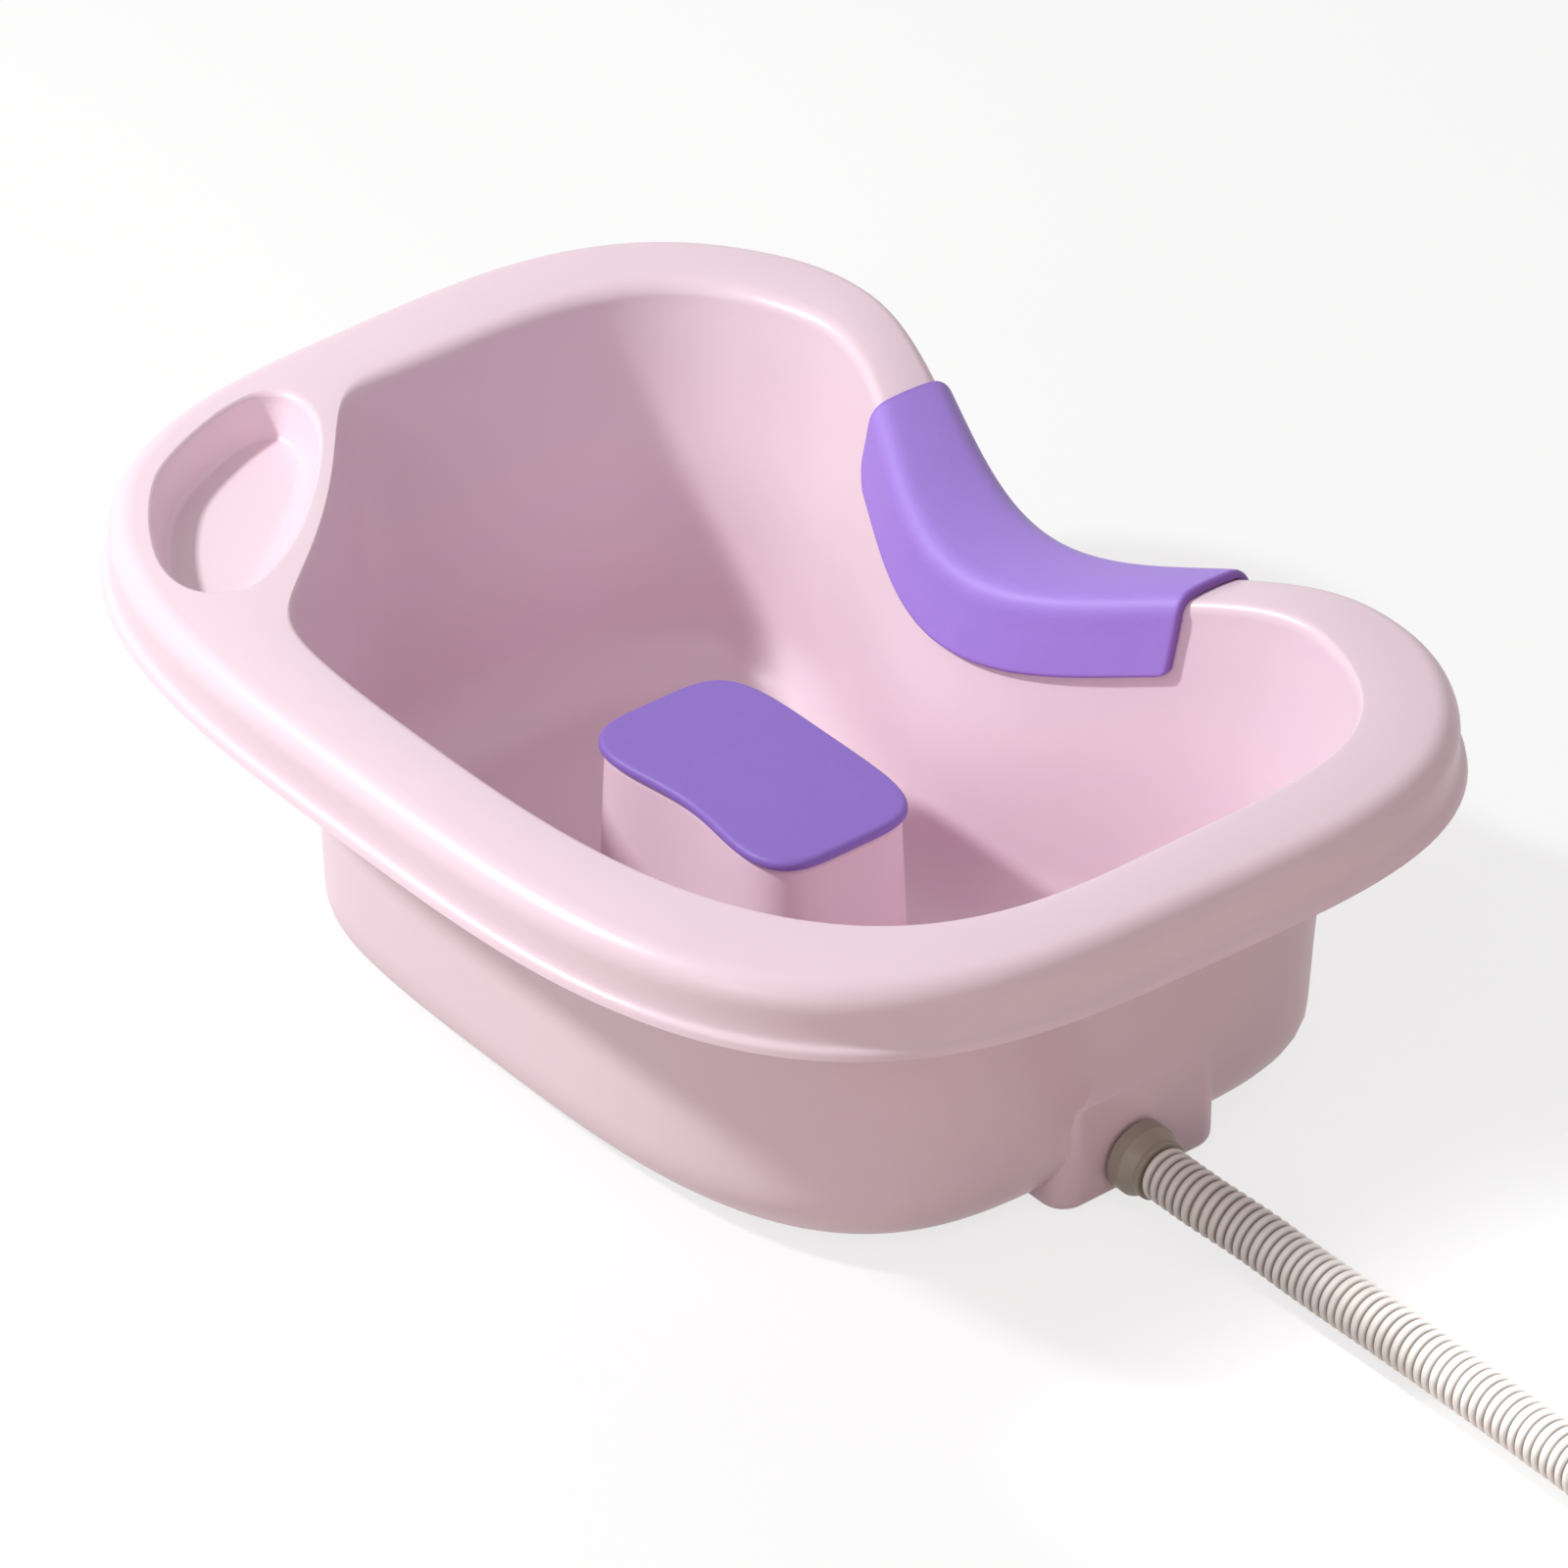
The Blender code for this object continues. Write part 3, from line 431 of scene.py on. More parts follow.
class Bench:
    """The modelling moves that the pieces share, all in the basin's own frame."""

    def clear(self) -> None:
        """Leaves edit mode and deselects everything."""
        if bpy.context.object and bpy.context.object.mode != "OBJECT":
            bpy.ops.object.mode_set(mode="OBJECT")
        bpy.ops.object.select_all(action="DESELECT")

    def pick(self, *pieces: Piece) -> None:
        """Selects these pieces alone and makes the last the active one.

        Args:
            pieces: The pieces.
        """
        self.clear()
        for piece in pieces:
            piece.select_set(True)
        bpy.context.view_layer.objects.active = pieces[-1]

    def edit(self) -> None:
        """Goes into edit mode on the active piece, with all of its vertices selected."""
        bpy.ops.object.mode_set(mode="EDIT")
        bpy.ops.mesh.select_mode(type="VERT")
        bpy.ops.mesh.select_all(action="SELECT")

    def face_out(self) -> None:
        """Turns every face outwards and leaves edit mode."""
        bpy.ops.mesh.select_all(action="SELECT")
        bpy.ops.mesh.normals_make_consistent(inside=False)
        bpy.ops.object.mode_set(mode="OBJECT")

    def stack(self, name: str, rings: list, ends: Ends = Ends.CLOSED) -> Piece:
        """A skin grown from a circle that is set on the first ring and extruded to each further one.

        Args:
            name: The piece's name.
            rings: Arrays of points, all of one count.
            ends: How the skin ends.

        Returns:
            The piece, in object mode.
        """
        count = len(rings[0])
        self.clear()
        bpy.ops.mesh.primitive_circle_add(vertices=count, radius=1, fill_type="NOTHING")
        piece = bpy.context.object
        piece.name = piece.data.name = name
        self.edit()
        first = row = list(range(count))
        self._place(piece, row, rings[0])
        for ring in rings[1:]:
            bpy.ops.mesh.extrude_region_move()
            row = self._raised_row(piece, row)
            self._place(piece, row, ring)
        if ends is Ends.LOOPED:
            self._select_rows(piece, first, row)
            bpy.ops.mesh.bridge_edge_loops()
        else:
            first_closed, last_closed = ends.value
            if last_closed:
                bpy.ops.mesh.edge_face_add()
            if first_closed:
                self._select_rows(piece, first)
                bpy.ops.mesh.edge_face_add()
        self.face_out()
        return piece

    def _skin(self, piece: Piece) -> bmesh.types.BMesh:
        """The mesh of a piece in edit mode.

        Args:
            piece: The piece.

        Returns:
            Its mesh, with vertices that can be looked up.
        """
        skin = bmesh.from_edit_mesh(piece.data)
        skin.verts.ensure_lookup_table()
        return skin

    def _place(self, piece: Piece, row: list, ring: Array) -> None:
        """Moves a row of vertices onto a ring.

        Args:
            piece: The piece in edit mode.
            row: Indices of the vertices.
            ring: Their new places.
        """
        skin = self._skin(piece)
        for index, point in zip(row, ring):
            skin.verts[index].co = point
        bmesh.update_edit_mesh(piece.data)

    def _raised_row(self, piece: Piece, row: list) -> list:
        """The row that an extrusion has just made, in the order of the row that it came from.

        Args:
            piece: The piece in edit mode.
            row: Indices of the row that was extruded.

        Returns:
            Indices of the new row.
        """
        raised = []
        skin = self._skin(piece)
        for index in row:
            start = skin.verts[index]
            partners = (edge.other_vert(start) for edge in start.link_edges)
            raised.append(next(partner.index for partner in partners if partner.select))
        return raised

    def _select_rows(self, piece: Piece, *rows: list) -> None:
        """Selects the closed edge loops through rows of vertices, and nothing else.

        Args:
            piece: The piece in edit mode.
            rows: Indices of each row's vertices.
        """
        bpy.ops.mesh.select_all(action="DESELECT")
        skin = self._skin(piece)
        for row in rows:
            for index, following in zip(row, row[1:] + row[:1]):
                skin.edges.get((skin.verts[index], skin.verts[following])).select_set(True)
        bmesh.update_edit_mesh(piece.data)

    def turned(
        self, name: str, profile: list, points: int, axis: Axis = Axis.ALONG_Z,
        centre: tuple = (0, 0, 0), ends: Ends = Ends.CLOSED,
    ) -> Piece:
        """A piece turned from a profile.

        Args:
            name: The piece's name.
            profile: Pairs of radius and distance along the axis.
            points: Points round it.
            axis: The axis that it is turned round.
            centre: A point on the axis.
            ends: How its skin ends, looped where the profile closes on itself.

        Returns:
            The piece.
        """
        turn = np.arange(points) * FULL_TURN / points
        rings = []
        for radius, along in profile:
            columns = (radius * np.cos(turn), radius * np.sin(turn), np.full(points, along))
            rings.append(np.column_stack([columns[k] for k in axis.value]) + np.array(centre))
        return self.stack(name, rings, ends)

    def rod(
        self, name: str, radius: float, span: tuple, points: int, centre: tuple,
        axis: Axis = Axis.ALONG_Z,
    ) -> Piece:
        """A plain round tool body that spans two distances along its axis."""
        return self.turned(name, [(radius, end) for end in span], points, axis, centre)

    def modify(self, piece: Piece, kind: str, **settings: object) -> None:
        """Adds one modifier and applies it.

        Args:
            piece: The piece.
            kind: The modifier's type.
            settings: Its settings.
        """
        self.pick(piece)
        step = piece.modifiers.new(kind.lower(), kind)
        for name, value in settings.items():
            setattr(step, name, value)
        bpy.ops.object.modifier_apply(modifier=step.name)

    def thicken(self, piece: Piece, wall: float) -> None:
        """Gives an open skin its wall, behind its faces."""
        self.modify(piece, "SOLIDIFY", thickness=wall, offset=-1, use_even_offset=True)

    def bevel(self, piece: Piece, width: float, segments: int, degrees: float) -> None:
        """Rounds the edges that are sharper than an angle."""
        limit = {"limit_method": "ANGLE", "angle_limit": math.radians(degrees)}
        self.modify(piece, "BEVEL", width=width, segments=segments, **limit)

    def combine(self, piece: Piece, tool: Piece, kind: CutKind) -> None:
        """Joins a tool body to the piece or cuts it out, and drops the tool."""
        self.modify(piece, "BOOLEAN", operation=kind.value, solver="EXACT", object=tool)
        bpy.data.objects.remove(tool)

    def smooth(self, piece: Piece, degrees: float = 38, weighted: bool = True) -> None:
        """Shades the piece smooth up to an angle.

        Args:
            piece: The piece.
            degrees: Largest angle that is still shaded smooth.
            weighted: Whether large faces keep their own direction.
        """
        self.pick(piece)
        bpy.ops.object.shade_smooth_by_angle(angle=math.radians(degrees))
        if weighted:
            self.modify(piece, "WEIGHTED_NORMAL", keep_sharp=True, weight=50)

    def mark(self, piece: Piece, name: str, values: Array) -> None:
        """Writes one value a vertex to the piece, for its finish to read."""
        made = piece.data.attributes.new(name, "FLOAT", "POINT")
        made.data.foreach_set("value", values)

    def hand_over(
        self, piece: Piece, body: str, slot: str, finish: bpy.types.Material, node: str
    ) -> None:
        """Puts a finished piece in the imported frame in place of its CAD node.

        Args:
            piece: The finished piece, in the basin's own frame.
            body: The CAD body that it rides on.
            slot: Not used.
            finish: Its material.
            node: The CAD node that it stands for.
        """
        piece.data.transform(Matrix.Translation(SHIFT))
        piece.data.materials.clear()
        piece.data.materials.append(finish)
        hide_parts(node)
        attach(piece, body)
        LOG.info("%s: %d faces on %s", piece.name, len(piece.data.polygons), body)

    def dress(self, finish: bpy.types.Material, *nodes: str) -> None:
        """Gives CAD nodes that stay a better finish in their slots.

        Args:
            finish: Their material.
            nodes: Their names.
        """
        for node in nodes:
            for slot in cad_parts[node].material_slots:
                slot.material = finish
            LOG.info("%s: dressed", node)


# Outlines and curves shared by the pieces

def hump(along: Array, reach: float) -> Array:
    """A raised cosine: 1 in the middle, falling smoothly to 0 at the reach on either side."""
    return (1 + np.cos(math.pi * np.clip(np.asarray(along) / reach, -1, 1))) / 2


def unit(vectors: Array) -> Array:
    """The vectors at length 1."""
    return vectors / np.linalg.norm(vectors, axis=-1, keepdims=True)


def distances(line: Array) -> Array:
    """How far along a line each of its points lies."""
    return np.concatenate([[0], np.cumsum(np.linalg.norm(np.diff(line, axis=0), axis=1))])


def sampled(at: Array, along: Array, line: Array) -> Array:
    """The line's points at some distances, where along gives the distance of each of its own."""
    return np.stack([np.interp(at, along, column) for column in line.T], axis=-1)


def smooth_step(before: Array, here: Array, after: Array, beyond: Array, share: Array) -> Array:
    """The Catmull-Rom curve between two points.

    Args:
        before: Point before the first.
        here: First point.
        after: Second point.
        beyond: Point after the second.
        share: How far from the first to the second.

    Returns:
        The points at those shares.
    """
    return 0.5 * (
        2 * here
        + (after - before) * share
        + (2 * before - 5 * here + 4 * after - beyond) * share**2
        + (3 * here - before - 3 * after + beyond) * share**3
    )


def smooth_line(control: Array, steps: int) -> Array:
    """An open smooth curve through control points.

    Args:
        control: The points, one a row.
        steps: Points on each span.

    Returns:
        The curve's points, the last control point among them.
    """
    control = np.asarray(control, dtype=float)
    last = len(control) - 1
    share = np.linspace(0, 1, steps, endpoint=False)[:, None]
    spans = [
        smooth_step(*(control[min(max(i + k, 0), last)] for k in (-1, 0, 1, 2)), share) for i in range(last)
    ]
    return np.vstack([*spans, control[-1:]])


@dataclass(frozen=True)
class Outline:
    """A rounded plan outline, notched at the back and cut across at its left front corner."""

    half_length: float
    half_width: float
    front_power: float
    back_left_power: float
    back_right_power: float
    notch_depth: float
    notch_reach: float
    corner_reach: float
    left: float = 0.0
    back: float = 0.0
    widening_share: float = 0.0

    CORNER_TURN = math.radians(225)
    CORNER_POWER = 24.0
    CORNER_BULGE = 0.23
    CORNER_SLANT = -0.25
    SMALLEST = 1e-6

    def towards(self, other: "Outline", share: float) -> "Outline":
        """The outline a share of the way to another."""
        ends = ((f.name, getattr(self, f.name), getattr(other, f.name)) for f in fields(self))
        return Outline(**{name: a + (b - a) * share for name, a, b in ends})

    def drawn_in(self, distance: float) -> "Outline":
        """The outline moved inwards by a distance."""
        sizes = ("half_length", "half_width", "corner_reach")
        return replace(self, **{name: getattr(self, name) - distance for name in sizes})

    def points(self, angles: Array) -> Array:
        """The outline's plan points.

        Args:
            angles: Directions from the middle, in radians.

        Returns:
            One x and y for each direction.
        """
        behind = np.sin(angles) > 0
        back_power = np.where(np.cos(angles) < 0, self.back_left_power, self.back_right_power)
        power = np.where(behind, back_power, self.front_power)
        along = np.abs(np.cos(angles) / self.half_length) ** power
        across = np.abs(np.sin(angles) / self.half_width) ** power
        tub_radius = (along + across) ** (-1 / power)
        facing = np.maximum(np.cos(angles - self.CORNER_TURN), self.SMALLEST)
        slant = np.sin(angles - self.CORNER_TURN) / facing - self.CORNER_SLANT
        corner_reach = self.corner_reach * (1 + self.CORNER_BULGE * slant**2)
        nearness = (tub_radius * facing / corner_reach) ** self.CORNER_POWER
        radius = tub_radius * (1 + nearness) ** (-1 / self.CORNER_POWER)
        y = radius * np.sin(angles)
        x = radius * np.cos(angles) * (1 + self.widening_share * y / self.half_width) - self.left
        notch = np.where(behind, self.notch_depth * hump(x, self.notch_reach), 0)
        return np.stack([x, y + self.back - notch], axis=1)


@dataclass
class SubAssembly:
    """What each sub-assembly has at hand: the modelling moves and the finishes."""

    bench: Bench
    palette: Palette


# Basin moulding

@dataclass
class BasinShell(SubAssembly):
    """The tub with its rolled rim, neck notch, corner tray and drain block, as one moulding."""

    height: float = 0.192
    wall: float = 0.003
    foot: float = 0.0015
    points: int = 228
    crown_fall: float = 0.0006
    inner_radius: float = 0.008
    fillet: float = 0.034
    wall_top_share: float = 0.235
    wall_control: tuple = ((0.0, 1.0), (0.42, 0.87), (0.74, 0.53))
    shoulder_inset: float = 0.0160
    shoulder_drop: float = 0.0120
    face_inset: float = 0.0040
    face_control: tuple = ((0.0040, 0.0120), (0.0038, 0.0245), (0.0010, 0.0280), (0.0, 0.0314))
    neck_dip: float = 0.0342
    neck_dip_reach: float = 0.170
    tray_out: float = 0.2370
    tray_left: float = 0.0655
    tray_half_width: float = 0.0335
    tray_half_length: float = 0.080
    tray_depth: float = 0.0210
    tray_draft: float = 0.0055
    tray_scoop: float = 0.0125
    tray_floor_radius: float = 0.0022
    tray_brim_radius: float = 0.0038
    tray_points: int = 120
    tray_scoop_side: tuple = (-0.85, -0.55)
    tray_scoop_power: float = 1.5
    tray_outline: tuple = (
        (0.00, 1.00), (-0.42, 0.98), (-0.82, 0.72), (-1.00, 0.22),
        (-0.95, -0.42), (-0.62, -0.88), (-0.20, -1.00), (0.24, -0.96),
        (0.62, -0.76), (0.88, -0.42), (1.00, -0.06), (0.96, 0.22),
        (0.70, 0.56), (0.36, 0.84),
    )
    block_face: float = 0.2256
    block_middle: float = 0.0270
    block_half_width: float = 0.0460
    block_depth: float = 0.047
    block_top: float = 0.058
    block_corner: float = 0.013
    block_edge: float = 0.005
    block_points: int = 56
    block_pocket_top: float = 0.034
    bore_radius: float = 0.0090
    foot_radius: float = 0.0113
    foot_recess: float = 0.0013
    foot_place: tuple = (0.11108, 0.06132)
    overrun: float = 0.010
    lip: Outline = Outline(0.2962, 0.2230, 3.15, 3.19, 3.66, 0.0564, 0.2276, 0.5924, 0.0069, 0.0041, 0.025)
    edge: Outline = Outline(0.2535, 0.1785, 2.75, 4.5, 4.5, 0.061, 0.176, 0.194, 0.0045, 0.0025)
    base: Outline = Outline(0.222, 0.151, 3.2, 4.3, 7.5, 0.054, 0.172, 0.188, 0.0010)

    @property
    def angles(self) -> Array:
        """Directions of the plan points."""
        return np.arange(self.points) * FULL_TURN / self.points

    @property
    def floor(self) -> float:
        """Height of the tub's floor."""
        return self.foot + self.wall

    @property
    def edge_height(self) -> float:
        """Height of the rim's two edges, a little under its crown."""
        return self.height - self.crown_fall

    def raised(self, plan: Array, height: float, dip_share: float = 1.0) -> Array:
        """Plan points at a height, lowered over the neck notch by a share of the rim's dip."""
        dip = np.where(np.sin(self.angles) > 0, self.neck_dip * hump(plan[:, 0], self.neck_dip_reach), 0)
        return np.column_stack([plan, height - dip * dip_share])

    def wall_rings(self, grown: float = 0.0) -> list:
        """The inside of the tub from its flat floor to the rim's inner rounding.

        Args:
            grown: How far the rings are moved out into the wall.

        Returns:
            Rings of points.
        """
        foot_height = self.floor + self.fillet
        top_height = self.edge_height - self.inner_radius
        radius = self.fillet + grown
        rings = []
        for turn in np.linspace(0, QUARTER_TURN, 10)[:-1]:
            plan = self.base.drawn_in(radius * (1 - math.sin(turn)) - grown).points(self.angles)
            rings.append(self.raised(plan, foot_height - radius * math.cos(turn), 0.0))
        control = [*self.wall_control, (1.0, self.wall_top_share)]
        for height_share, draft_share in smooth_line(control, 4):
            height = foot_height + (top_height - foot_height) * height_share
            plan = self.edge.towards(self.base, draft_share).drawn_in(-grown).points(self.angles)
            rings.append(self.raised(plan, height, height_share))
        return rings

    def rim_rings(self) -> list:
        """The rim from its inner rounding over the crown and down the outer face to the lip.

        Returns:
            Rings of points.
        """
        edge = self.edge.points(self.angles)
        lip = self.lip.points(self.angles)
        breadth = np.linalg.norm(lip - edge, axis=1)[:, None]
        outwards = (lip - edge) / breadth
        rings = []
        for turn in np.linspace(0, QUARTER_TURN, 7)[1:]:
            plan = self.edge.towards(self.base, self.wall_top_share * math.cos(turn)).points(self.angles)
            rings.append(self.raised(plan, self.edge_height - self.inner_radius * (1 - math.sin(turn))))
        for share in np.linspace(0, 1, 8)[1:]:
            plan = edge + outwards * (breadth - self.shoulder_inset) * share
            rings.append(self.raised(plan, self.edge_height + self.crown_fall * 4 * share * (1 - share)))
        run = self.shoulder_inset - self.face_inset
        for turn in np.linspace(QUARTER_TURN, 0, 9)[1:-1]:
            plan = lip - outwards * (self.shoulder_inset - run * math.cos(turn))
            rings.append(self.raised(plan, self.edge_height - self.shoulder_drop * (1 - math.sin(turn))))
        for inset, drop in smooth_line(self.face_control, 4):
            rings.append(self.raised(lip - outwards * inset, self.edge_height - drop))
        return rings

    def tray_ring(self, height: float, grown: float, scooped: float = 0.0) -> Array:
        """The tray pocket's outline.

        Args:
            height: Its height.
            grown: How far it is moved outwards.
            scooped: How far its side towards the tub is drawn in further.

        Returns:
            The ring's points.
        """
        control = np.array(self.tray_outline)
        places = np.arange(self.tray_points) * len(control) / self.tray_points
        start = np.floor(places).astype(int)
        near = (control[(start + k) % len(control)] for k in (-1, 0, 1, 2))
        smooth = smooth_step(*near, (places - start)[:, None])
        nearness = np.clip(smooth @ np.array(self.tray_scoop_side), 0, 1)
        grown = grown - scooped * nearness ** self.tray_scoop_power
        out = self.tray_out + smooth[:, 0] * (self.tray_half_width + grown)
        left = self.tray_left + smooth[:, 1] * (self.tray_half_length + grown)
        cosine, sine = math.cos(Outline.CORNER_TURN), math.sin(Outline.CORNER_TURN)
        plan = (out * cosine + left * sine, out * sine - left * cosine)
        return np.column_stack([*plan, np.full(self.tray_points, height)])

    def tray_rings(self, grown: float) -> list:
        """The tray's floor, its rounding and its scooped wall, up to below the brim.

        Args:
            grown: 0 for the pocket, the wall's thickness for its outside.

        Returns:
            Rings of points.
        """
        floor = self.height - self.tray_depth - grown
        radius = self.tray_floor_radius
        rise = self.tray_depth - self.tray_brim_radius
        rings = [self.tray_ring(floor, grown - self.tray_draft - 2 * radius, self.tray_scoop)]
        corner = radius * (1 - np.cos(np.linspace(0, QUARTER_TURN, 7)))
        for up in [*corner[:-1], *np.linspace(radius, rise, 12)[:-1]]:
            rounding = radius - math.sqrt(radius**2 - max(radius - up, 0) ** 2)
            inset = self.tray_draft * (1 - up / rise) + rounding
            scooped = self.tray_scoop * (1 - math.sqrt(1 - (1 - up / rise) ** 2))
            rings.append(self.tray_ring(floor + up, grown - inset, scooped))
        return rings

    def tray_cup(self) -> Piece:
        """The tray's outer body under the rim."""
        top = self.tray_ring(self.height - self.wall / 2, self.wall)
        return self.bench.stack("tray_cup", [*self.tray_rings(self.wall), top])

    def tray_pocket(self) -> Piece:
        """The tray's inside, flared at the top so that it leaves a rounded brim.

        Returns:
            The tool body.
        """
        rings = self.tray_rings(0.0)
        radius = self.tray_brim_radius
        start = math.atan(self.tray_draft / (self.tray_depth - radius))
        top = self.height - self.crown_fall / 3
        for turn in np.linspace(start, math.radians(80), 8):
            drop = radius * (1 - math.sin(turn))
            rings.append(self.tray_ring(top - drop, radius * (math.cos(start) - math.cos(turn))))
        rings += [self.tray_ring(top + over, radius * 3) for over in (self.overrun / 8, self.overrun)]
        return self.bench.stack("tray_pocket", rings)

    def block_ring(self, height: float, drawn: float) -> Array:
        """The drain block's rounded outline.

        Args:
            height: Its height.
            drawn: How far it is drawn in.

        Returns:
            The ring's points.
        """
        half_width = self.block_half_width - drawn
        half_depth = self.block_depth / 2 - drawn
        corner = self.block_corner - min(drawn, self.block_corner / 2)
        quarter = self.block_points // 4
        ring = []
        for side, (right, back) in enumerate(((1, 1), (-1, 1), (-1, -1), (1, -1))):
            x = self.block_face - self.block_depth / 2 + right * (half_depth - corner)
            y = self.block_middle + back * (half_width - corner)
            for turn in ((side + i / (quarter - 1)) * QUARTER_TURN for i in range(quarter)):
                ring.append((x + corner * math.cos(turn), y + corner * math.sin(turn), height))
        return np.array(ring)

    def drain_block(self) -> Piece:
        """The drain block with rounded lower and upper edges.

        Returns:
            The tool body.
        """
        steps = [
            (self.block_edge * (1 - math.cos(turn)), self.block_edge * (1 - math.sin(turn)))
            for turn in np.linspace(0, QUARTER_TURN, 6)
        ]
        rings = [self.block_ring(self.foot + rise, ease) for rise, ease in steps]
        rings += [self.block_ring(self.block_top - rise, ease) for rise, ease in steps[::-1]]
        return self.bench.stack("drain_block", rings)

    def block_pocket(self) -> Piece:
        """The space inside the drain block, open to the tub.

        Returns:
            The tool body.
        """
        half = self.block_edge / 2
        steps = (
            (self.floor, half), (self.floor + half / 3, half / 3), (self.floor + half, 0.0),
            (self.block_pocket_top, 0.0),
        )
        rings = [self.block_ring(height, self.wall + ease) for height, ease in steps]
        return self.bench.stack("block_pocket", rings)

    def outlet_bore(self) -> Piece:
        """The round hole through the drain block's face."""
        span = (self.block_face - self.wall - self.block_edge, self.block_face + self.overrun)
        return self.bench.rod("outlet_bore", self.bore_radius, span, 64, OUTLET_CENTRE, Axis.ALONG_X)

    def foot_recesses(self) -> list:
        """The shallow round seats of the foot pads.

        Returns:
            The tool bodies.
        """
        x, y = self.foot_place
        span = (self.foot - self.overrun, self.foot + self.foot_recess)
        places = ((-x, -y, 0), (x, -y, 0), (-x, y, 0), (x, y, 0))
        return [
            self.bench.rod(f"foot_recess_{number}", self.foot_radius, span, 48, place)
            for number, place in enumerate(places, 1)
        ]

    def build(self) -> None:
        """Grows the skin, gives it its wall, joins and cuts its parts, and dresses the foot pads."""
        bench = self.bench
        shell = bench.stack("basin_moulding", self.wall_rings() + self.rim_rings(), Ends.FIRST_CLOSED)
        self._face_up(shell)
        bench.thicken(shell, self.wall)
        bench.bevel(shell, self.wall / 3, 3, 60)
        block = self.drain_block()
        bench.combine(block, bench.stack("tub_space", self.wall_rings(self.wall / 2)), CutKind.CUT)
        bench.combine(shell, self.tray_cup(), CutKind.JOIN)
        bench.combine(shell, block, CutKind.JOIN)
        for cutter in (self.tray_pocket(), self.block_pocket(), self.outlet_bore(), *self.foot_recesses()):
            bench.combine(shell, cutter, CutKind.CUT)
        bench.smooth(shell)
        bench.hand_over(shell, "basin", "pink_plastic", self.palette.pink, "basin_shell")
        bench.dress(self.palette.grey_rubber, *(f"foot_pad_{number}" for number in range(1, 5)))

    def _face_up(self, shell: Piece) -> None:
        """Turns the open skin's faces towards the inside of the tub.

        Args:
            shell: The skin.
        """
        floor = min(shell.data.polygons, key=lambda face: face.center.z)
        if floor.normal.z < 0:
            self.bench.pick(shell)
            self.bench.edit()
            bpy.ops.mesh.flip_normals()
            bpy.ops.object.mode_set(mode="OBJECT")


# Neck cushion

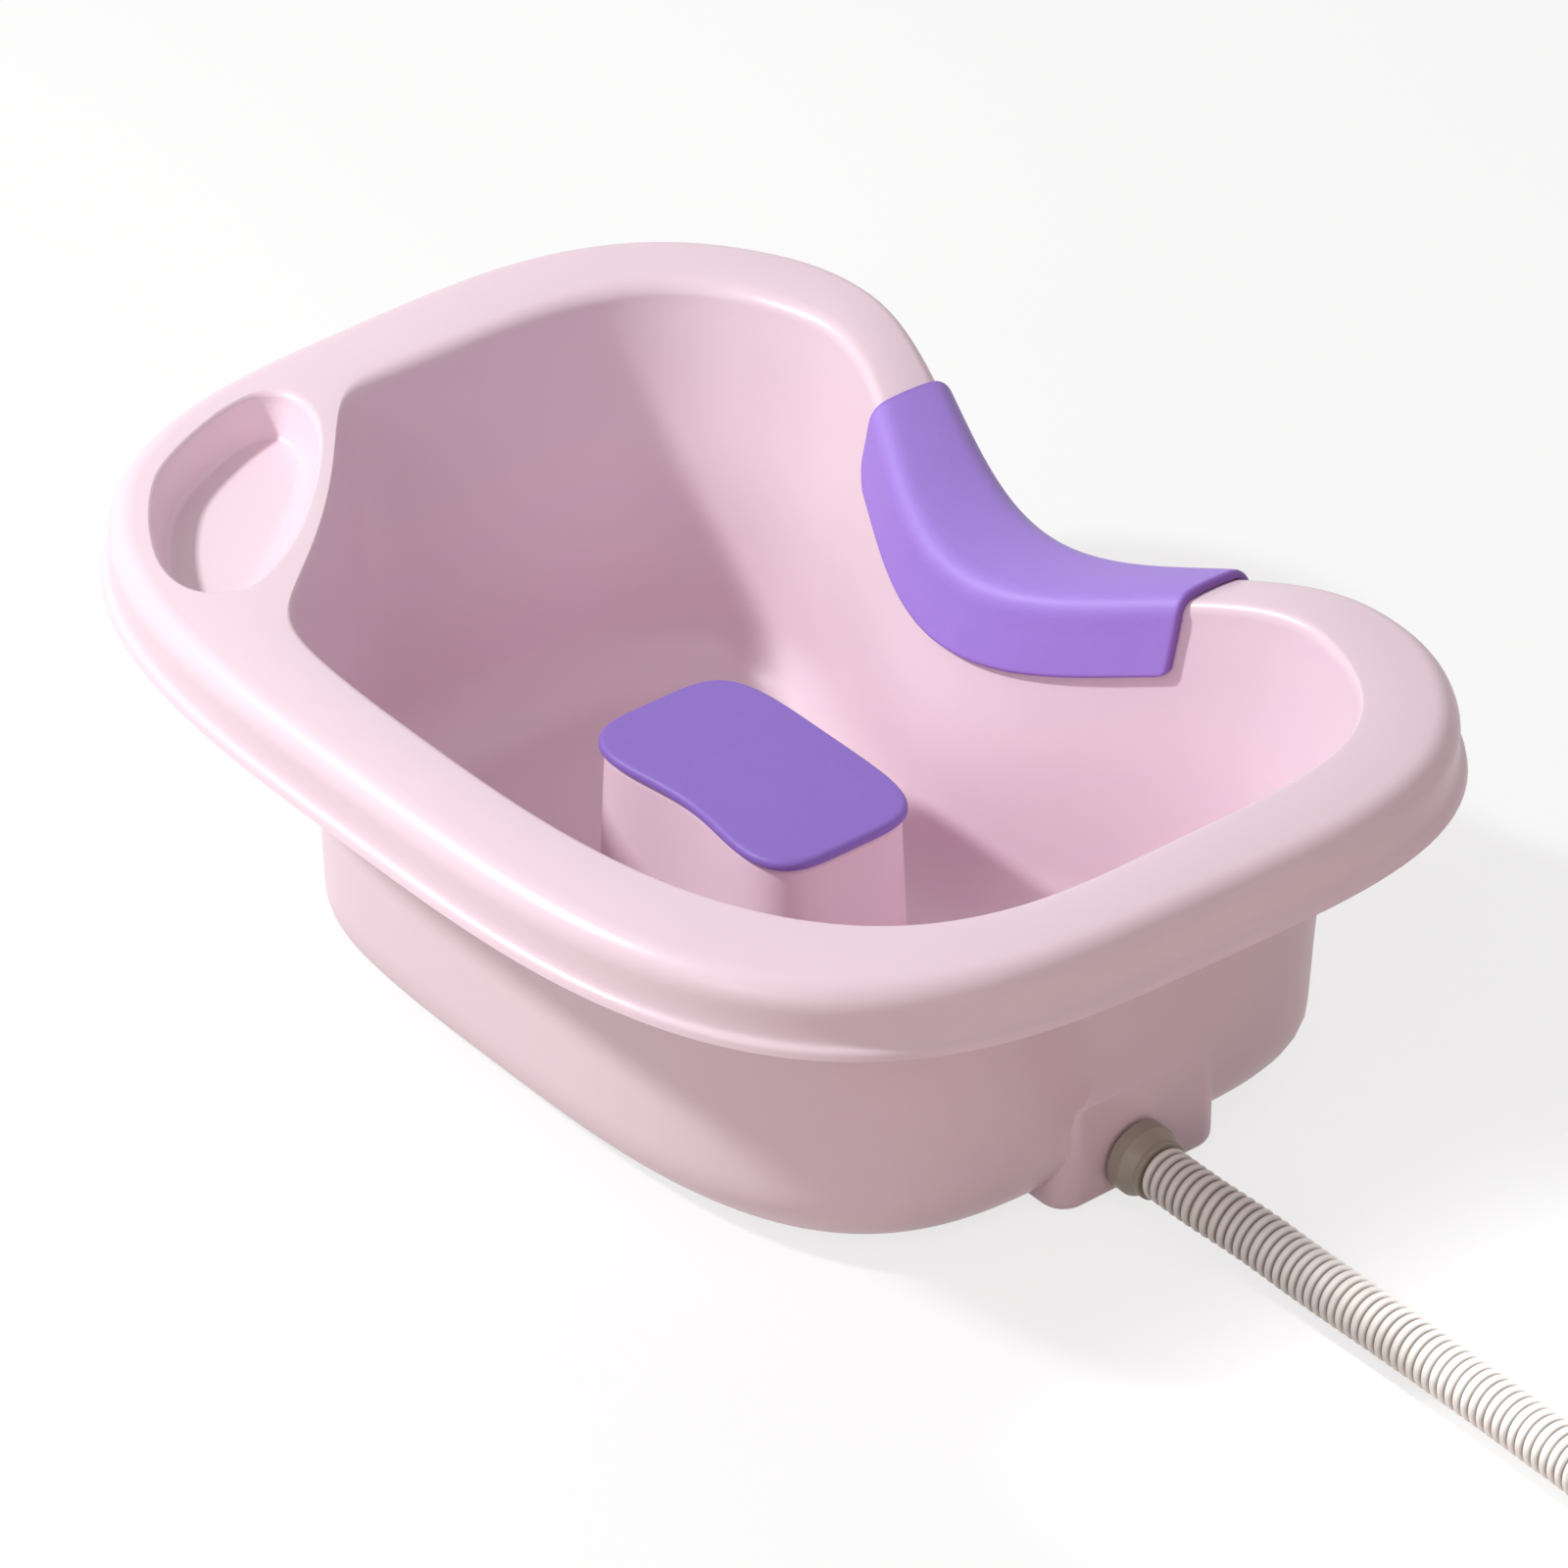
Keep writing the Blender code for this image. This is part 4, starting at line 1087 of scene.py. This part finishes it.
@dataclass
class NeckCushion(SubAssembly):
    """The soft saddle that hangs over the rim in the neck notch."""

    shell: BasinShell
    half_length: float = 0.103
    thickness: float = 0.0040
    edge_share: float = 0.30
    gap: float = 0.0006
    skirt: float = 0.035
    rings_left_out: int = 11
    edge_round: float = 0.0022
    # Width of the band of painted shade along the cushion's edges.
    edge_width: float = 0.0035
    corner_left: float = 0.014
    corner_right: float = 0.0055
    packing: float = 0.80
    stations: int = 96
    across: int = 72
    fullness: float = 0.9

    # Attribute of how near each vertex lies to the edge, which sets the painted edge shade.
    EDGE = "edge_shade_nearness"

    def section(self, x: float, rings: Array) -> Array:
        """The rim cut across at x on the back side.

        Args:
            x: Where it is cut.
            rings: Back halves of the rings, in order of rising x.

        Returns:
            Points of y and z from the skirt's low edge outwards.
        """
        line = np.array([[np.interp(x, r[:, 0], r[:, k]) for k in (1, 2)] for r in rings])
        crest = int(np.argmax(line[:, 1]))
        start = np.interp(line[crest, 1] - self.skirt, line[:crest, 1], np.arange(crest))
        places = np.concatenate([[start], np.arange(math.floor(start) + 1, len(line))])
        return sampled(places, np.arange(len(line)), line)

    def seat_point(self, x: float, share: float, rings: Array) -> Array:
        """The point on the rim at x and at a share of the way across from the inside to the outside.

        Args:
            x: Where the rim is cut.
            share: The share of the way.
            rings: Back halves of the rings.

        Returns:
            The point.
        """
        line = self.section(x, rings)
        along = distances(line)
        return np.array([x, *sampled(share * along[-1], along, line)])

    def reach(self, corner: float, edge: float) -> float:
        """How far an end lies from the middle at a distance from the nearer long edge, for its corner."""
        across = max(corner - edge, 0)
        return self.half_length - corner + math.sqrt(corner**2 - across**2)

    def spaced(self, count: int, length: float) -> Array:
        """Distances from 0 to a length, packed closer towards both ends."""
        even = np.linspace(0, 1, count)
        return (even - self.packing * np.sin(FULL_TURN * even) / FULL_TURN) * length

    def build(self) -> None:
        """Lays a sheet over the rim, thickens it and rounds its edges."""
        behind = np.sin(self.shell.angles) > 0
        rings = self.shell.wall_rings()[:-1] + self.shell.rim_rings()[:-self.rings_left_out]
        rings = np.array([ring[behind][::-1] for ring in rings])
        width = distances(self.section(0.0, rings))[-1]
        seat = np.zeros((self.stations, self.across, 3))
        full = np.zeros((self.stations, self.across))
        edge_shade_share = np.zeros((self.stations, self.across))
        for k, t in enumerate(self.spaced(self.across, width)):
            edge = min(t, width - t)
            left = self.reach(self.corner_left, edge)
            length = left + self.reach(self.corner_right, edge)
            for i, s in enumerate(self.spaced(self.stations, length)):
                seat[i, k] = self.seat_point(s - left, t / width, rings)
                near = np.array([min(s, length - s), edge]) / self.edge_round
                rise = np.sqrt(np.clip(1 - (1 - np.clip(near, 0, 1)) ** 2, 0, 1))
                full[i, k] = rise[0] * rise[1]
                # Share of painted edge shade: full at the edge, none beyond the shade's width.
                edge_shade_share[i, k] = max(1 - min(s, length - s, edge) / self.edge_width, 0)
        normals = unit(np.cross(np.gradient(seat, axis=0), np.gradient(seat, axis=1)))
        under = seat + normals * self.gap
        thick = self.thickness * (self.edge_share + (1 - self.edge_share) * full)
        cushion = self._sheets(under, under + normals * thick[:, :, None])
        # Hands the painted shade's share to the finish, once for each skin.
        self.bench.mark(cushion, self.EDGE, np.tile(edge_shade_share.reshape(-1), 2))
        self.bench.modify(cushion, "SUBSURF", levels=1, render_levels=1)
        self.bench.smooth(cushion, 60, weighted=False)
        self.bench.hand_over(cushion, "neck_cushion", "purple_foam", self.palette.foam, "neck_cushion")

    def _sheets(self, under: Array, over: Array) -> Piece:
        """The two skins of the cushion from grids, bridged along their borders.

        Args:
            under: Grid of the lower skin.
            over: Grid of the upper skin.

        Returns:
            The closed cushion.
        """
        self.bench.clear()
        bpy.ops.mesh.primitive_grid_add(
            x_subdivisions=self.across - 1, y_subdivisions=self.stations - 1, size=1
        )
        foam = bpy.context.object
        foam.name = foam.data.name = "neck_cushion_foam"
        foam.data.vertices.foreach_set("co", under.reshape(-1))
        foam.data.update()
        self.bench.edit()
        bpy.ops.mesh.duplicate()
        skin = bmesh.from_edit_mesh(foam.data)
        for vertex, point in zip([v for v in skin.verts if v.select], over.reshape(-1, 3)):
            vertex.co = point
        bmesh.update_edit_mesh(foam.data)
        bpy.ops.mesh.select_all(action="DESELECT")
        bpy.ops.mesh.select_mode(type="EDGE")
        bpy.ops.mesh.select_non_manifold()
        bpy.ops.mesh.bridge_edge_loops()
        self.bench.face_out()
        return foam


# Head rest

@dataclass
class HeadRest(SubAssembly):
    """The hollow stand in the middle of the tub with its foam pad; it stands on four suction cups."""

    top: float = 0.105
    half_length: float = 0.070
    half_width: float = 0.044
    left: float = 0.0025
    front: float = 0.001
    power: float = 4.5
    dent: float = 0.0065
    dent_reach: float = 0.060
    points: int = 160
    gap: float = 0.0003
    pad_thickness: float = 0.0060
    pad_edge: float = 0.0026
    pad_crown: float = 0.0007
    pad_foot: tuple = ((0.0, 0.0016), (0.0005, 0.0005), (0.0014, 0.0))
    pad_top_insets: tuple = (0.005, 0.009, 0.015, 0.023, 0.032, 0.040)
    pad_fullness: float = 0.9
    stand_inset: float = 0.0022
    stand_draft: float = 0.0035
    stand_foot: float = 0.0054
    stand_edge: float = 0.0030
    stand_foot_round: float = 0.0006
    stand_top_insets: tuple = (0.038, 0.020, 0.008)
    wall: float = 0.003
    tub_floor: float = 0.0045
    cup_height: float = 0.0090
    stem_length: float = 0.0070
    stem_radius: float = 0.0029
    post_radius: float = 0.0075
    post_shares: tuple = ((-0.62, -0.36), (0.62, -0.36), (-0.62, 0.44), (0.62, 0.44))
    overrun: float = 0.010

    def ring(self, height: float, inset: float) -> Array:
        """The head rest's rounded outline, its long front side dented inwards.

        Args:
            height: Its height.
            inset: How far it is drawn in.

        Returns:
            The ring's points.
        """
        turn = np.arange(self.points) * FULL_TURN / self.points
        along = np.abs(np.cos(turn) / (self.half_length - inset)) ** self.power
        across = np.abs(np.sin(turn) / (self.half_width - inset)) ** self.power
        radius = (along + across) ** (-1 / self.power)
        x, y = radius * np.cos(turn), radius * np.sin(turn)
        dent = self.dent * (1 - (inset / self.half_width) ** 2)
        y = y + np.where(y < 0, dent * hump(x, self.dent_reach), 0) - self.front
        return np.column_stack([x - self.left, y, np.full(self.points, height)])

    def build_pad(self) -> None:
        """The pad: a crowned slab with rounded edges."""
        low = self.top - self.pad_thickness
        side_top = self.top - self.pad_crown - self.pad_edge
        rings = [self.ring(low + rise, inset) for rise, inset in self.pad_foot]
        for turn in np.linspace(0, QUARTER_TURN, 8):
            inset = self.pad_edge * (1 - math.cos(turn))
            rings.append(self.ring(side_top + self.pad_edge * math.sin(turn), inset))
        for inset in self.pad_top_insets:
            share = (inset - self.pad_edge) / (self.half_width - self.pad_edge)
            rings.append(self.ring(self.top - self.pad_crown * (1 - share) ** 2, inset))
        pad = self.bench.stack("head_rest_pad_foam", rings)
        self.bench.smooth(pad, 60, weighted=False)
        self.bench.hand_over(pad, "head_rest", "purple_foam", self.palette.pad_foam, "head_rest_pad")

    def build_stand(self) -> None:
        """The stand: a thin drafted shell with a post inside for each suction cup."""
        bench, edge = self.bench, self.stand_edge
        top = self.top - self.pad_thickness - self.gap
        rings = [self.ring(top, self.stand_inset + inset) for inset in self.stand_top_insets]
        for turn in np.linspace(QUARTER_TURN, 0, 7):
            drop, inset = edge * (1 - math.sin(turn)), edge * (1 - math.cos(turn))
            rings.append(self.ring(top - drop, self.stand_inset + inset))
        for share in (0.25, 0.5, 0.75, 1.0):
            height = top - edge + (self.stand_foot - top + edge) * share
            rings.append(self.ring(height, self.stand_inset - self.stand_draft * share))
        stand = bench.stack("head_rest_stand", rings, Ends.FIRST_CLOSED)
        bench.thicken(stand, self.wall)
        bench.bevel(stand, self.stand_foot_round, 2, 60)
        seat = self.tub_floor + self.gap + self.cup_height + self.gap
        post_span = (seat, top - self.wall / 2)
        hole_span = (seat - self.overrun, seat + self.stem_length)
        for number, (share_x, share_y) in enumerate(self.post_shares, 1):
            place = (self.half_length * share_x - self.left, self.half_width * share_y - self.front, 0)
            post = bench.rod(f"post_{number}", self.post_radius, post_span, 40, place)
            bench.combine(stand, post, CutKind.JOIN)
            hole = bench.rod(f"hole_{number}", self.stem_radius, hole_span, 24, place)
            bench.combine(stand, hole, CutKind.CUT)
        bench.smooth(stand)
        bench.hand_over(stand, "head_rest", "pink_plastic", self.palette.pink, "head_rest_pedestal")

    def build(self) -> None:
        """Builds the stand and the pad, and dresses the suction cups."""
        self.build_stand()
        self.build_pad()
        cups = (f"head_rest_suction_cup_{number}" for number in range(1, 5))
        self.bench.dress(self.palette.clear, *cups)


# Outlet

@dataclass
class Outlet(SubAssembly):
    """The collar outside the drain block, the fitting with its gaskets, and the stopper inside."""

    band: tuple = ((0.0090, 0.0), (0.0165, 0.0), (0.0165, 0.0070))
    cone: tuple = ((0.0158, 0.0080), (0.0133, 0.0132))
    lip: tuple = ((0.0137, 0.0138), (0.0137, 0.0160), (0.0096, 0.0160))
    edge: float = 0.0007
    points: int = 96

    def build_collar(self) -> None:
        """The collar: a band at the wall, a cone and a small lip at the hose."""
        steps = (*self.band, *self.cone, *self.lip)
        profile = [(radius, OUTLET_NEAR + along) for radius, along in steps]
        collar = self.bench.turned(
            "outlet_collar_ring", profile, self.points, Axis.ALONG_X, OUTLET_CENTRE, Ends.LOOPED
        )
        self.bench.bevel(collar, self.edge, 3, 30)
        self.bench.smooth(collar)
        self.bench.hand_over(collar, "collar", "beige_plastic", self.palette.beige, "outlet_collar")

    def build(self) -> None:
        """Builds the collar and dresses the other pieces of the outlet."""
        self.build_collar()
        self.bench.dress(self.palette.white_rubber, "outlet_fitting", "outlet_stopper")
        self.bench.dress(self.palette.grey_rubber, "outlet_inner_gasket", "outlet_outer_gasket")


# Drain hose

@dataclass
class DrainHose(SubAssembly):
    """The ribbed hose from the collar along the floor, put away in a loop past the basin's end."""

    start: tuple = (0.2440, 0.0215, 0.0192)
    radius: float = 0.0124
    groove_share: float = 0.875
    bore_radius: float = 0.0098
    ribs: int = 170
    sides: int = 40
    steps: int = 40
    end_turn: float = math.radians(255)
    end_slack: float = 1e-5
    route: tuple = (
        (0.300, 0.0258, 0.0158), (0.330, 0.0278, 0.0132), (0.361, 0.0287, 0.0127), (0.400, 0.0292, 0.0127),
        (0.440, 0.0292, 0.0127), (0.484, 0.0285, 0.0127), (0.535, 0.0285, 0.0127), (0.585, 0.0380, 0.0127),
        (0.626, 0.0680, 0.0127), (0.648, 0.1150, 0.0127), (0.644, 0.1650, 0.0127), (0.614, 0.2060, 0.0127),
        (0.566, 0.2260, 0.0127), (0.514, 0.2200, 0.0127), (0.474, 0.1900, 0.0127), (0.454, 0.1460, 0.0127),
    )
    rib_profile: tuple = (
        (0.00, 0.0), (0.08, 0.10), (0.15, 0.38), (0.24, 0.68), (0.36, 0.91), (0.50, 1.0),
        (0.64, 0.91), (0.76, 0.68), (0.85, 0.38), (0.92, 0.10), (1.0, 0.0),
    )

    GROOVE = "groove_depth"

    @property
    def groove_depth(self) -> float:
        """Depth of the grooves under the ribs."""
        return self.radius * (1 - self.groove_share)

    def line(self) -> Array:
        """Dense points along the hose: straight out, along the route, straight at its end.

        Returns:
            The points, in the basin's frame.
        """
        diameter = 2 * self.radius
        start, last = np.array(self.start), np.array(self.route[-1])
        heading = np.array([math.cos(self.end_turn), math.sin(self.end_turn), 0])
        ends = (last + heading * diameter, last + 2 * heading * diameter)
        route = np.array([start, start + np.array([diameter, 0, 0]), *self.route, *ends])
        curved = smooth_line(route, self.steps)[self.steps:-self.steps - 1]
        return np.vstack([route[:1], curved, route[-2:]])

    def build(self) -> None:
        line = self.line()
        lengths = distances(line)
        hose = self._ribbed(lengths[-1] / self.ribs)
        self._bend(hose, line, lengths)
        self.bench.smooth(hose, 70, weighted=False)
        self.bench.hand_over(hose, "basin", "hose_plastic", self.palette.hose, "drain_hose")

    def _ribbed(self, pitch: float) -> Piece:
        """A straight ribbed tube along X, with its bore.

        Args:
            pitch: Length of one rib.

        Returns:
            The straight tube.
        """
        low = self.radius - self.groove_depth
        profile = [(low + self.groove_depth * rise, along * pitch) for along, rise in self.rib_profile]
        tube = self.bench.turned("drain_hose_ribbed", profile, self.sides, Axis.ALONG_X, ends=Ends.OPEN)
        self.bench.modify(
            tube, "ARRAY", count=self.ribs, use_relative_offset=False, use_constant_offset=True,
            constant_offset_displace=(pitch, 0, 0), use_merge_vertices=True, merge_threshold=pitch / 100,
        )
        length = pitch * self.ribs
        profile = [(self.bore_radius, along) for along in np.linspace(0, length, self.ribs)]
        bore = self.bench.turned("drain_hose_bore", profile, self.sides, Axis.ALONG_X, ends=Ends.OPEN)
        self.bench.pick(bore, tube)
        bpy.ops.object.join()
        self._close_ends(tube, length)
        return tube

    def _close_ends(self, tube: Piece, length: float) -> None:
        """Bridges the outer skin to the bore at both cut ends, and faces all outwards.

        Args:
            tube: The tube.
            length: Its length.
        """
        self.bench.edit()
        bpy.ops.mesh.select_mode(type="EDGE")
        for end in (0.0, length):
            bpy.ops.mesh.select_all(action="DESELECT")
            skin = bmesh.from_edit_mesh(tube.data)
            for edge in skin.edges:
                if edge.is_boundary and all(abs(v.co.x - end) < self.end_slack for v in edge.verts):
                    edge.select_set(True)
            bmesh.update_edit_mesh(tube.data)
            bpy.ops.mesh.bridge_edge_loops()
        self.bench.face_out()

    def _bend(self, hose: Piece, line: Array, lengths: Array) -> None:
        """Moves the straight tube onto its route and notes how deep in a groove each vertex lies.

        Args:
            hose: The straight tube along X.
            line: Points of the route.
            lengths: Distance along the route at each of them.
        """
        places = np.zeros(len(hose.data.vertices) * 3)
        hose.data.vertices.foreach_get("co", places)
        places = places.reshape(-1, 3)
        along = places[:, 0]
        depth = (self.radius - np.hypot(places[:, 1], places[:, 2])) / self.groove_depth
        heading = unit(sampled(along, lengths, np.gradient(line, lengths, axis=0)))
        aside = unit(np.cross(np.array([0.0, 0.0, 1.0]), heading))
        above = np.cross(heading, aside)
        centre = sampled(along, lengths, line)
        placed = centre + aside * places[:, 1:2] + above * places[:, 2:3]
        hose.data.vertices.foreach_set("co", placed.reshape(-1))
        self.bench.mark(hose, self.GROOVE, np.clip(depth, 0, 1))
        hose.data.update()


# Studio

def set_up(name: str, data: bpy.types.ID, place: Vector, turn: Matrix) -> Piece:
    """Puts a lamp or camera in the scene.

    Args:
        name: Its name.
        data: The lamp or camera.
        place: Where it stands, in the basin's frame.
        turn: How it is turned.

    Returns:
        Its object.
    """
    made = bpy.data.objects.new(name, data)
    bpy.context.scene.collection.objects.link(made)
    made.matrix_world = Matrix.Translation(place + SHIFT) @ turn.to_4x4()
    return made


@dataclass(frozen=True)
class Lamp:
    """A square soft lamp: the way its light travels, and how far it stands from the point it lights."""

    name: str
    way: tuple
    distance: float
    size: float
    power: float
    colour: tuple = (1.0, 1.0, 1.0)
    aim: tuple = (0.0, 0.0, 0.1)
    spread: float = math.pi

    def light(self) -> None:
        """Adds the lamp to the scene."""
        data = bpy.data.lights.new(self.name, "AREA")
        data.size = self.size
        data.energy = self.power
        data.color = self.colour
        data.spread = self.spread
        way = Vector(self.way).normalized()
        place = Vector(self.aim) - way * self.distance
        set_up(self.name, data, place, way.to_track_quat("-Z", "Y").to_matrix())


@dataclass
class Studio:
    """Camera, lamps, world and floor."""

    lens: float = 193.03
    sensor: float = 36.0
    farthest: float = 50.0
    eye: tuple = (2.3424, -1.8895, 2.1536)
    right: tuple = (0.63079, 0.77596, 0.0)
    up: tuple = (-0.43778, 0.35588, 0.82565)
    back: tuple = (0.64066, -0.52081, 0.56418)
    lamps: tuple = (
        Lamp("key", (0.446, 0.588, -0.676), 2.6, 0.20, 50.5, (0.98, 1.02, 1.01)),
        Lamp("low", (-1.0, 0.12, 0.0), 2.4, 0.18, 1.9, (1.0, 0.48, 0.28)),
        Lamp("front", (-0.25, 0.80, -0.45), 2.6, 0.9, 6.8),
        Lamp(
            "hose", (-0.25, 0.0, -1.0), 1.5, 0.30, 0.26, aim=(0.500, 0.03, 0.02), spread=math.radians(5)
        ),
    )
    white: tuple = (1.0, 1.0, 1.0, 1.0)
    fill_strength: float = 0.44
    fill_colour: tuple = (1.0, 0.905, 0.895, 1.0)
    floor_size: float = 30.0
    floor_roughness: float = 0.9
    floor_seen: tuple = (0.98, 0.98, 0.98, 1.0)
    floor_thrown: tuple = (0.50, 0.43, 0.40, 1.0)
    floor_glow_share: float = 0.75

    def camera(self) -> None:
        """Sets the camera where the photograph was taken from."""
        data = bpy.data.cameras.new("view")
        data.lens = self.lens
        data.sensor_width = self.sensor
        data.clip_end = self.farthest
        turn = Matrix((self.right, self.up, self.back)).transposed()
        bpy.context.scene.camera = set_up("view", data, Vector(self.eye), turn)

    def seen(self, nodes: Nodes) -> Link:
        """1 for rays that the camera, gloss or clear material sends out, and 0 for the others.

        Args:
            nodes: The tree that the nodes go to.

        Returns:
            The link of its value.
        """
        path = nodes.node("ShaderNodeLightPath")
        rays = [Link(nodes, path.outputs[f"Is {kind} Ray"]) for kind in ("Camera", "Glossy", "Transmission")]
        return (rays[0] + rays[1] + rays[2]).clamped()

    def world(self) -> None:
        """An even pale world that is plain white to the camera."""
        world = bpy.data.worlds.new("studio")
        bpy.context.scene.world = world
        world.use_nodes = True
        world.node_tree.nodes.clear()
        nodes = Nodes(world.node_tree)
        fill = {"Color": self.fill_colour, "Strength": self.fill_strength}
        light = nodes.link("ShaderNodeBackground", values=fill)
        white = nodes.link("ShaderNodeBackground", values={"Color": self.white})
        mix = nodes.link("ShaderNodeMixShader", values={"Fac": self.seen(nodes), 1: light, 2: white})
        nodes.node("ShaderNodeOutputWorld", values={"Surface": mix})

    def floor(self) -> None:
        """A wide pale floor that reads as white and keeps the basin's shadow."""
        bpy.ops.mesh.primitive_plane_add(size=self.floor_size)
        plane = bpy.context.object
        plane.name = "studio_floor"
        shader = Shader("studio_floor")
        seen = self.seen(shader)
        tint = shader.mixed(seen, self.floor_thrown, self.floor_seen)
        plane.data.materials.append(
            shader.finish(Base_Color=tint, Roughness=self.floor_roughness, Specular_IOR_Level=0.0)
        )
        lit = Link(shader, shader.surface.outputs[0])
        glow = shader.link("ShaderNodeEmission", values={"Color": self.white, "Strength": 1.0})
        share = seen * self.floor_glow_share
        mix = shader.link("ShaderNodeMixShader", values={"Fac": share, 1: lit, 2: glow})
        shader.fill(shader.tree.nodes["Material Output"].inputs["Surface"], mix)

    def build(self) -> None:
        """Sets up the whole studio."""
        bpy.context.scene.view_settings.view_transform = "Standard"
        self.camera()
        for lamp in self.lamps:
            lamp.light()
        self.world()
        self.floor()


def main() -> None:
    """Builds the studio and every piece."""
    logging.basicConfig(level=logging.INFO, format="%(name)s %(message)s")
    bench, palette = Bench(), Palette()
    Studio().build()
    shell = BasinShell(bench, palette)
    rest = (NeckCushion(bench, palette, shell), HeadRest(bench, palette), Outlet(bench, palette))
    for assembly in (DrainHose(bench, palette), shell, *rest):
        assembly.build()
    bench.clear()


if __name__ == "__main__":
    main()
